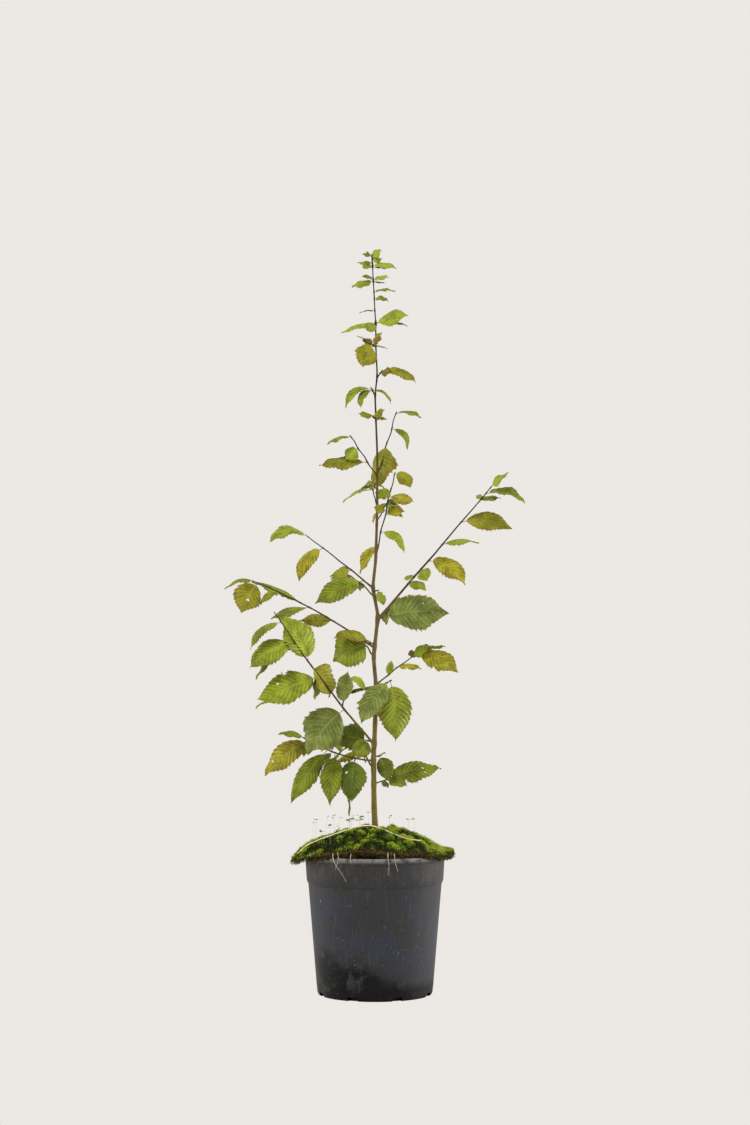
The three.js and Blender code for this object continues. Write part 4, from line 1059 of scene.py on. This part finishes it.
def midrib(base, row):
    """The midrib is an arc: its heading stays and its pitch turns down evenly by its sag."""
    right, away, up, sag = row[1:5]
    heading, level = math.atan2(away, right), math.hypot(right, away)
    bend = math.radians(sag)
    length = math.hypot(level, up) * (bend / 2) / math.sin(bend / 2)
    forward, sky = np.array([math.cos(heading), math.sin(heading), 0.0]), np.array([0, 0, 1.0])
    start = math.atan2(up, level) + bend / 2

    def at(share):
        """Point, direction and upper side at a share of the midrib."""
        pitch = (start - bend * np.asarray(share, float))[..., None]
        point = base + length / bend * (
            forward * (math.sin(start) - np.sin(pitch)) + sky * (np.cos(pitch) - math.cos(start)))
        ahead, upper = (a * np.cos(pitch) + b * np.sin(pitch) for a, b in ((forward, sky), (sky, -forward)))
        return point, ahead, upper

    viewer = np.array([math.sin(heading), -math.cos(heading), 0.0]) * (1 if math.cos(heading) >= 0 else -1)
    return length, at, viewer


def blade_outline(share):
    """Half width along the blade: rounded at the base, widest before the middle, drawn out to the tip."""
    return np.sin(np.pi * share**0.8) ** (0.72 + 0.75 * share**4)


def blade_grid(blade):
    """Share along the leaf and distance from the midrib, from -1 to 1, of every point, and the vein count.

    Each vein has three rows, one at each corner of its teeth. A long blade has more columns."""
    veins = int(np.clip(round(6 + blade / 11), FEWEST_VEINS, MOST_VEINS))
    fractions = (np.arange(3)[:, None] + TOOTH_STEPS).ravel() / 3
    number = np.concatenate([[0.06], (np.arange(veins)[:, None] + fractions).ravel()])
    number[-1] -= 0.08
    half = FINE_HALF if blade > FINE_BLADE else COARSE_HALF
    return *np.meshgrid(number / veins, np.concatenate([-half[::-1], [0], half]), indexing="ij"), veins


def unbroken(flat, half, length, holes):
    """The squares of a leaf's grid whose four corners don't all lie in one hole."""
    solid = np.ones((flat.shape[0] - 1, flat.shape[1] - 1), bool)
    for along_leaf, across_leaf, size in holes:
        spot = np.array([across_leaf * half, (PETIOLE_SHARE + (1 - PETIOLE_SHARE) * along_leaf) * length])
        inner = np.linalg.norm(flat - spot, axis=-1) < size
        solid &= ~(inner[:-1, :-1] & inner[1:, :-1] & inner[:-1, 1:] & inner[1:, 1:])
    return np.nonzero(solid)


def rim_between(faces, total):
    """Quads that join the upper layer to the lower one along each edge that only one upper face has."""
    edges = np.concatenate([faces[:, [k, (k + 1) % 4]] for k in range(4)])
    codes, backs = edges[:, 0] * total + edges[:, 1], edges[:, 1] * total + edges[:, 0]
    start, end = edges[~np.isin(codes, backs)].T
    return np.stack([end, start, start + total, end + total], 1)


def leaf_shell(base, row, slot, seed, corner, side, holes=(), fuller=1.0):
    """One blade.

    t counts along the leaf and v from the midrib (0) to the edge (1 or -1). Vein t leaves the midrib at
    t - VEIN_BACK sin(pi t) and meets the edge at t + VEIN_AHEAD sin(pi t). A point stands v times the half
    width out from the midrib, raised by the fold, by pleats as the sine of vein number, and by a wave."""
    chance = np.random.default_rng(seed)
    length, at, viewer = midrib(base, row)
    breadth = row[6] if len(row) > 6 else LEAF_BREADTH
    blade = length * (1 - PETIOLE_SHARE)
    half = breadth * blade / 2 * fuller * (FULLER + SMALL_FULLER * max(0, 1 - blade / SMALL_LEAF))
    t, v, veins = blade_grid(blade)
    number, far = t * veins, np.abs(v)
    root, end = t - VEIN_BACK * np.sin(np.pi * t), t + VEIN_AHEAD * np.sin(np.pi * t)
    inland = np.sin(np.pi * np.clip(end, 0, 1)) ** 0.5
    big, small = np.mod(number - 1e-6, 1), np.mod(3 * number - 1e-6, 1)
    uneven = 1 + 0.5 * np.sin(chance.uniform(0, 6) + number * chance.uniform(1.5, 2.5) + 2 * np.sign(v))
    tooth = (BIG_TOOTH * (1 - big) * uneven + SMALL_TOOTH * (1 - small)) * inland
    ragged = 1 + RAGGED_EDGE * np.sin(chance.uniform(0, 6) + t * chance.uniform(7, 12) + np.sign(v))
    out = half * blade_outline(end) * far * (1 - tooth * far**6) * ragged
    share = PETIOLE_SHARE + (1 - PETIOLE_SHARE) * (root + (end - root) * far * (1 + 0.02 * far**6))
    middle, ahead, upper = at(share)
    twist = math.radians(row[5]) + math.radians(chance.normal() * TWIST) * (share - 0.4)
    normal = upper * np.cos(twist)[..., None] + viewer * np.sin(twist)[..., None]
    across = np.cross(ahead, normal)
    fold = math.radians(LEAF_FOLD + chance.uniform(-12, 14)) - math.radians(chance.uniform(6, 34)) * far
    pleat = PLEAT_DEPTH * blade / veins * np.abs(np.sin(np.pi * number)) ** 0.8 * np.minimum(1, far / 0.2)
    phase = np.pi * number / veins * chance.uniform(3, 5) + chance.uniform(0, 6) + 2.4 * np.sign(v)
    rise = out * np.sin(fold) + pleat * inland + 2 * WAVE_DEPTH * half * np.sin(phase) * v**2
    points = middle + across * (np.sign(v) * out * np.cos(fold))[..., None] + normal * rise[..., None]
    keel = KEEL * np.exp(-((out / 0.9) ** 2)) * (1 - share) * min(1, blade / 60)
    under = points - normal * (BLADE_THICKNESS * min(1, 0.5 + blade / 100) + keel)[..., None]
    flat = np.stack([np.sign(v) * out, share * length], -1)
    i, j = unbroken(flat, half, length, holes)
    first, columns, total = i * t.shape[1] + j, t.shape[1], t.size
    upper_faces = np.stack([first, first + 1, first + columns + 1, first + columns], 1)
    lower_faces, rim = upper_faces[:, ::-1] + total, rim_between(upper_faces, total)
    up_map = 0.02 + 0.96 * (share - PETIOLE_SHARE) / (1 - PETIOLE_SHARE)
    spot = np.stack([0.25 + 0.23 * flat[..., 0] / half, up_map], -1).reshape(-1, 2)
    spots = np.concatenate([spot, spot + [0.5, 0]]) * side + corner
    patterns = np.tile(np.stack([number, v], -1).reshape(-1, 2), (2, 1))
    rim_spots = spots[np.where(rim >= total, rim - total, rim)]
    rim_spots[:, 2:] += (spots[rim[:, 1::-1]] - (corner + side * np.array([0.25, 0.5]))) * 0.02
    parts = [
        (upper_faces, slot, spots[upper_faces], patterns[upper_faces]),
        (lower_faces, slot + 1, spots[lower_faces], patterns[lower_faces]),
        (rim, slot, rim_spots, patterns[rim])]
    return np.concatenate([points.reshape(-1, 3), under.reshape(-1, 3)]), parts


# %% [markdown]
# ### Leaf colours
# In late summer a hornbeam's leaves run from fresh to olive green, with yellow ones and russet stains, and
# each is paler underneath. One recipe makes them all: cloudy patches in a lighter and a darker shade, painted
# pleat shade that darkens the blade along the veins and lightens it between them, thin pale veins and a
# tinted margin. It reads the leaf's own pattern map, so the veins of the colour lie on the veins of the mesh.
# The table gives each tint its shade and its share of russet.

# %% Leaf colours
def leaf_finish(name, shade, vein, tint, tint_share, roughness):
    """A pleated blade: painted pleat shade darker at the veins, thin veins, cloudy patches and a tinted
    margin.
    """
    recipe = Recipe(name)
    place, pattern = recipe.place(), recipe.pattern()
    number, side = pattern.part(0), pattern.part(1)
    from_vein = abs((number + 0.5).fraction() - 0.5) * 2
    on_vein = 1 - from_vein.rise(0.04, 0.2)
    on_rib = 1 - abs(side).rise(0.015, 0.06)
    clouds = recipe.noise(place, 62.0, 4.0, 0.65)
    cells = recipe.noise(place, 700.0, 2.0, 0.6)
    dark = tuple(channel * 0.58 for channel in shade)
    light = tuple(min(1, channel * 1.26) for channel in shade)
    # Darker along the veins and paler between them: painted shade of the pleats, mixed with the leaf's own
    # cloudy patches.
    colour = recipe.mix(from_vein.rise(0.05, 0.95) * 0.27 + clouds.rise(0.38, 0.60) * 0.73, dark, light)
    edge = (abs(side) + 0.5 * clouds).rise(0.85, 1.3)
    stains = recipe.noise(place, 110.0, 4.0, 0.7).rise(0.54, 0.68)
    colour = recipe.mix((edge * 0.55 + stains * 0.8) * tint_share, colour, tint)
    colour = recipe.mix((on_vein * 0.2).at_least(on_rib * 0.5), colour, vein)
    height = 0.5 * cells + 0.4 * on_vein
    return recipe.finish(colour, roughness + 0.1 * clouds, height, 0.2 * MM, 0.5, Specular_IOR_Level=0.16)


# d deep is a darker copy of the green for leaves that lie in shade: painted shade.
TINTS = {
    "f": ((0.205, 0.250, 0.014), 0.45), "g": ((0.158, 0.196, 0.012), 0.55), "o": ((0.182, 0.180, 0.006), 0.7),
    "d": ((0.084, 0.120, 0.008), 0.4), "b": ((0.140, 0.175, 0.034), 0.4), "y": ((0.262, 0.240, 0.012), 0.8),
    "r": ((0.145, 0.098, 0.014), 0.9)}
RUSSET, VEIN_PALE = (0.16, 0.075, 0.014), (0.48, 0.46, 0.08)
UNDER_PALE, RIB_PALE = (0.34, 0.38, 0.12), (0.50, 0.48, 0.18)
ABOVE, BELOW = 0.42, 0.62


def between(share, low, high):
    """The shade that lies the given share of the way from low to high."""
    return tuple((1 - share) * a + share * b for a, b in zip(low, high))


leaf_finishes = []
for letter, (shade, tint_share) in TINTS.items():
    pale = between(0.28, shade, UNDER_PALE)
    vein, rib = between(0.4, shade, VEIN_PALE), between(0.5, pale, RIB_PALE)
    leaf_finishes.append(leaf_finish("leaf_upper_" + letter, shade, vein, RUSSET, tint_share, ABOVE))
    leaf_finishes.append(leaf_finish("leaf_under_" + letter, pale, rib, RUSSET, tint_share * 0.6, BELOW))

# %% Holes in the leaves
# Each hole is [share of the blade, distance from the midrib as a share of the half width, radius].
HOLES = {
    "left_middle": {0: [[0.6, -0.48, 3.0]], 1: [[0.44, 0.24, 4.2], [0.5, 0.92, 3.2]]},
    "left_low": {
        0: [[0.21, -0.73, 3.0]], 3: [[0.57, 0.41, 2.8], [0.41, 0.9, 3.6]], 4: [[0.2, 0.3, 2.2]],
        5: [[0.65, 0.95, 2.8]]},
    "left_lowest": {0: [[0.3, 0.4, 2.6]], 1: [[0.2, 0.78, 2.4]], 5: [[0.7, 0.28, 2.8]]},
    "left_long": {0: [[0.6, 0.4, 1.8]], 4: [[0.53, -0.11, 2.8]]},
    "right_low": {0: [[0.63, -0.06, 2.2], [0.82, -0.34, 2.2], [0.67, 0.31, 2.0], [0.24, 0.67, 2.4]]},
    "right_broad_leaf": {0: [[0.75, -0.71, 2.6], [0.57, -0.46, 2.8]]},
    "left_shaded": {0: [[0.4, 0.4, 2.6], [0.64, 0.77, 2.6]]},
    "front": {0: [[0.76, 0.65, 2.6], [0.89, 0.86, 2.2]]},
    "back_lowest": {0: [[0.34, -0.9, 2.4]], 2: [[0.65, 0.04, 2.4]]}}
print(sum(len(holes) for leaves in HOLES.values() for holes in leaves.values()), "holes set one by one")

# %% [markdown]
# ### Twigs, stalks and buds
# Beyond its bare bough each shoot is a thin dark twig with a knot at every leaf. A leaf hangs on a short
# stalk with a reddish side, and a pointed brown bud sits in its corner. All of them are tubes, gathered in
# one heap with a finish each, because there are hundreds of them and none is more than a few faces round.

# %% Twigs, leaf stalks and buds
def stalk_finish():
    """Leaf stalks: green with a reddish side."""
    recipe = Recipe("leaf_stalk")
    blush = recipe.noise(recipe.place(), 130.0, 2.0)
    return recipe.finish(recipe.mix(blush.rise(0.4, 0.62), (0.16, 0.17, 0.03), (0.17, 0.075, 0.03)), 0.5)


def bud_finish():
    """Buds: overlapping brown scales, greener at the foot."""
    recipe = Recipe("bud_scales")
    place = recipe.place()
    scales = recipe.noise(recipe.stretched(place, (500.0, 500.0, 1600.0)), 1.0, 2.0)
    colour = recipe.mix(scales.rise(0.4, 0.6), (0.11, 0.055, 0.02), (0.20, 0.15, 0.05))
    return recipe.finish(colour, 0.5, scales, 0.3 * MM, 0.6)


def spindle(base, way, length, thick):
    """A bud: a thin pointed spindle with its widest ring before the middle."""
    steps = np.array([0.02, 0.15, 0.38, 0.62, 0.84, 0.98])
    radii = thick / 2 * np.array([0.55, 0.9, 1.0, 0.72, 0.34, 0.08])
    return base + way * (steps * length)[:, None], radii


TWIG_SIDES, STALK_SIDES, STALK_STEPS = 8, 6, 8
LEAF_KNOT, TWIG_COLLAR, STALK_THICK, STALK_THIN = 0.32, 0.35, 0.62, 0.36
BUD, BUD_THICK, TIP_BUD, TIP_BUD_THICK = 3.2, 1.5, 5.2, 1.8
TWIG_SLOT, STALK_SLOT, BUD_SLOT = range(3)

stems = []
for index, shoot in enumerate(SHOOTS):
    stems.append((index, trunk_at(shoot["node"]), shoot, shoot["bare"]))
    for side in shoot["sides"]:
        root = along(trunk_at(shoot["node"]), shoot, side["at"])
        stems.append((index, root, dict(side, name=shoot["name"], thick=2 * TWIG_TIP_RADIUS), 0.0))
room = squares(2 * len(stems) + 2 * sum(len(shoot["leaves"]) for _, _, shoot, _ in stems))
leaf_rows = {shoot["name"]: [] for shoot in SHOOTS}
heap = Heap()
for index, foot, shoot, start in stems:
    heading = unit(np.array(shoot["reach"], float))
    length = np.linalg.norm(shoot["reach"])
    share = np.linspace(start, 1.0, max(10, int(length * (1 - start) / 2.2)))
    radii = shoot["thick"] / 2 + (TWIG_TIP_RADIUS - shoot["thick"] / 2) * share
    for row in shoot["leaves"]:
        radii = radii + LEAF_KNOT * np.exp(-(((share - row[0]) * length / 1.8) ** 2))
    if start == 0:
        radii = radii + TWIG_COLLAR * np.exp(-share * length / 4)
    path = along(foot, shoot, share)
    radii = rough_radii(path, radii, TWIG_SIDES, 90 + index, 0.06)
    heap.add(*tube(path, radii, TWIG_SIDES, *next(room), TWIG_SLOT))
    for order, row in enumerate(shoot["leaves"]):
        base = along(foot, shoot, row[0])
        rib_length, at, _ = midrib(base, row)
        stalk = np.linspace(STALK_THICK, STALK_THIN, STALK_STEPS) * min(1, 0.6 + rib_length / 150)
        steps = np.linspace(0, PETIOLE_SHARE + 0.03, STALK_STEPS)
        heap.add(*tube(at(steps)[0], stalk, STALK_SIDES, *next(room), STALK_SLOT))
        slot = 2 * list(TINTS).index(shoot["tints"][order])
        holes = [] if "at" in shoot else HOLES.get(shoot["name"], {}).get(order, [])
        leaf_rows[shoot["name"]].append((base, row, slot, holes))
        way = unit(heading + 0.6 * unit(at(0.0)[1]) + [0, 0, 0.25])
        bud = spindle(base, way, BUD + 1.6 * (rib_length / 80), BUD_THICK)
        heap.add(*tube(*bud, STALK_SIDES, *next(room), BUD_SLOT))
    bud = spindle(along(foot, shoot, 0.985), heading, TIP_BUD, TIP_BUD_THICK)
    heap.add(*tube(*bud, STALK_SIDES, *next(room), BUD_SLOT))
twigs = heap.build("twigs_and_buds", [twig_bark, stalk_finish(), bud_finish()], "bark")
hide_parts(*["leaves_" + shoot["name"] for shoot in SHOOTS])

# %% Leaves by shoot
GNAWED_SHARE, BITES = 0.55, 3
for number, shoot in enumerate(SHOOTS):
    heap, rows = Heap(), leaf_rows[shoot["name"]]
    room = squares(len(rows))
    for place_in, (base, row, slot, holes) in enumerate(rows):
        gnawed = np.random.default_rng(77 + 1000 * number + place_in)
        if gnawed.uniform() < GNAWED_SHARE:
            edges = gnawed.choice([-1, 1], BITES) * gnawed.uniform(0.86, 1.02, BITES)
            holes = [*holes, *zip(gnawed.uniform(0.12, 0.88, BITES), edges, gnawed.uniform(1.8, 3.6, BITES))]
        heap.add(*leaf_shell(base, row, slot, 1000 * number + place_in, *next(room), holes, shoot["fuller"]))
    piece = heap.build("foliage_" + shoot["name"], leaf_finishes, "foliage", 50)
    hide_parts("leaves_" + shoot["name"])

# %% [markdown]
# ## Straw, roots and sprigs
# A few small things lie on the moss: one long pale straw, fine roots that hang over the rim, and hair-thin
# sprigs with oval leaflets. They are plain tubes along short smooth paths, and the straw is lifted where
# it would sink into the moss. Without them the top of the pot looks too clean.

# %% Small things on the moss
def plain_finish(name, shade, dark, scale, roughness):
    """Two close shades in fine noise."""
    recipe = Recipe(name)
    noise = recipe.noise(recipe.place(), scale, 3.0)
    return recipe.finish(recipe.mix(noise.rise(0.35, 0.65), dark, shade), roughness, noise, 0.2 * MM, 0.4)


def smooth_path(knots, count):
    """A curve through its knots: each coordinate is a cubic between them."""
    knots = np.array(knots, float)
    padded = np.concatenate([2 * knots[:1] - knots[1:2], knots, 2 * knots[-1:] - knots[-2:-1]])
    places = np.linspace(0, len(knots) - 1 - 1e-6, count)
    whole, part = places.astype(int), (places % 1)[:, None]
    a, b, c, d = (padded[whole + k] for k in range(4))
    curve = (2 * a - 5 * b + 4 * c - d) * part**2 + (3 * b - a - 3 * c + d) * part**3
    return 0.5 * (2 * b + (c - a) * part + curve)


STRAW = [
    [-107.4, -12, 168.3], [-98.5, -16.5, 182.1], [-87, -25.5, 192.4], [-73.1, -22, 198.7],
    [-49.3, -24.5, 207.5], [-26.3, -20, 214.8], [-14, -16, 216.7], [-4, -14, 216.4], [7, -20, 214],
    [23, -37, 208.3], [40.1, -45, 202.7], [58.2, -49, 200]]
ROOTS = [
    [[-53, -86, 187], [-52.5, -91.6, 181], [-49, -92.4, 172], [-43, -92, 164], [-36, -91, 152]],
    [[-47, -88, 188], [-46, -92.2, 181], [-47.5, -92.3, 174], [-50, -91.5, 168]],
    [[16, -88, 188], [16.5, -92.3, 181.5], [17.6, -92.4, 170], [16.5, -92, 160]],
    [[24, -88, 187], [25, -92.3, 181], [26.5, -92.3, 172], [29, -92, 165]],
    [[-30, -88, 187], [-31, -92.3, 180], [-29, -92.2, 173]]]
# A sprig is [right, away, height of its top, leaflets, length of a leaflet].
SPRIGS = [
    [-53, -30, 231, 3, 3.4], [-76, -20, 225, 3, 3.2], [-80, -25, 221, 2, 3.0], [-59, -40, 219, 3, 3.0],
    [-45, -20, 227, 2, 3.2], [-47, -45, 218, 3, 3.0], [-68, -35, 211, 2, 3.2], [51, 10, 224, 2, 2.6],
    [-62, 5, 227, 2, 2.8], [-33, -22, 225, 5, 5.0], [-20, -16, 229, 6, 5.6], [-9, 12, 232, 2, 2.6],
    [20, 48, 226, 3, 3.0], [44, 40, 221, 2, 2.8], [-30, 52, 225, 4, 4.4]]
LEAFLET_SIZE, SHOOT_STAND, MANY_LEAFLETS = 1.35, 1.6, 4
STRAW_STEPS, ROOT_STEPS, SPRIG_STEPS, SMOOTHED = 90, 24, 10, 6
STRAW_SLOT, ROOT_SLOT, STEM_SLOT, SPRIG_SLOT, SEEDLING_SLOT = range(5)


def moss_top(x, y):
    """The visible top of the moss, with its cushions and about half the height of its shoots."""
    return moss_height_at(x, y) + cushion_height(x, y) - SHOOT_DROP + SHOOT_STAND


def leaflet(base, way, length, width, roll):
    """A small oval leaf: a flat spindle, rolled, whose ring at turn a has the radius of an ellipse there."""
    steps = np.array([0.02, 0.14, 0.34, 0.56, 0.78, 0.94, 1.0])
    profile = np.array([0.12, 0.6, 0.95, 1.0, 0.72, 0.34, 0.06])
    turn = np.linspace(0, 2 * np.pi, 8, endpoint=False)
    ring = 1 / np.hypot(np.cos(turn - roll) / (width / 2), np.sin(turn - roll) / 0.14)
    droop = np.array([0, 0, -0.25 * length])
    return base + way * (steps * length)[:, None] + droop * (steps**2)[:, None], profile[:, None] * ring


def straw_path():
    """The straw's curve, lifted where it would sink into the moss."""
    path = smooth_path(STRAW, STRAW_STEPS)
    x, y = path[:, 0], path[:, 1]
    on_moss = np.hypot(x, y) < moss_edge(np.arctan2(y, x)) - 5
    resting = np.pad(np.where(on_moss, moss_top(x, y) + 0.8, 0), SMOOTHED, "edge")
    window = 2 * SMOOTHED + 1
    path[:, 2] = np.maximum(path[:, 2], np.convolve(resting, np.ones(window) / window, "valid"))
    return path


heap, room = Heap(), squares(1 + len(ROOTS) + sum(1 + sprig[3] for sprig in SPRIGS))
heap.add(*tube(straw_path(), 0.95 - 0.3 * np.linspace(-1, 1, STRAW_STEPS) ** 2, 7, *next(room), STRAW_SLOT))
for root in ROOTS:
    thinning = np.linspace(0.5, 0.2, ROOT_STEPS)
    heap.add(*tube(smooth_path(root, ROOT_STEPS), thinning, 6, *next(room), ROOT_SLOT))
chance = np.random.default_rng(23)
for right, away, height, leaflets, leaf_length in SPRIGS:
    ground = float(moss_top(np.array(right, float), np.array(away, float))) - 3
    lean = chance.uniform(-3, 3)
    foot, half_way = [right + lean, away, ground], [right + lean / 2, away, (ground + height) / 2]
    path = smooth_path([foot, half_way, [right, away, height]], SPRIG_STEPS)
    heap.add(*tube(path, np.full(SPRIG_STEPS, 0.04 + 0.04 * leaflets), 5, *next(room), STEM_SLOT))
    start_turn = chance.uniform(0, 2 * np.pi)
    for number in range(leaflets):
        turn = start_turn + number * 2.4
        way = unit(np.array([math.cos(turn), math.sin(turn), chance.uniform(0.1, 0.8)]))
        foot = path[-1 - number // 2] - [0, 0, 0.2]
        long = LEAFLET_SIZE * leaf_length * chance.uniform(0.75, 1.1)
        blade = leaflet(foot, way, long, long * 0.66, chance.uniform(0.5, 2.6))
        heap.add(*tube(*blade, 8, *next(room), SPRIG_SLOT if leaflets < MANY_LEAFLETS else SEEDLING_SLOT))
heap.build("straw_roots_and_stalks", [
    plain_finish("pale_straw", (0.82, 0.73, 0.44), (0.66, 0.56, 0.28), 200.0, 0.5),
    plain_finish("pale_root", (0.50, 0.41, 0.29), (0.24, 0.17, 0.11), 300.0, 0.7),
    plain_finish("sprig_stalk", (0.42, 0.36, 0.24), (0.30, 0.24, 0.15), 300.0, 0.6),
    plain_finish("sprig_leaf", (0.12, 0.15, 0.08), (0.06, 0.08, 0.04), 300.0, 0.6),
    plain_finish("seedling_leaf", (0.14, 0.25, 0.03), (0.07, 0.13, 0.02), 300.0, 0.6)], "moss")
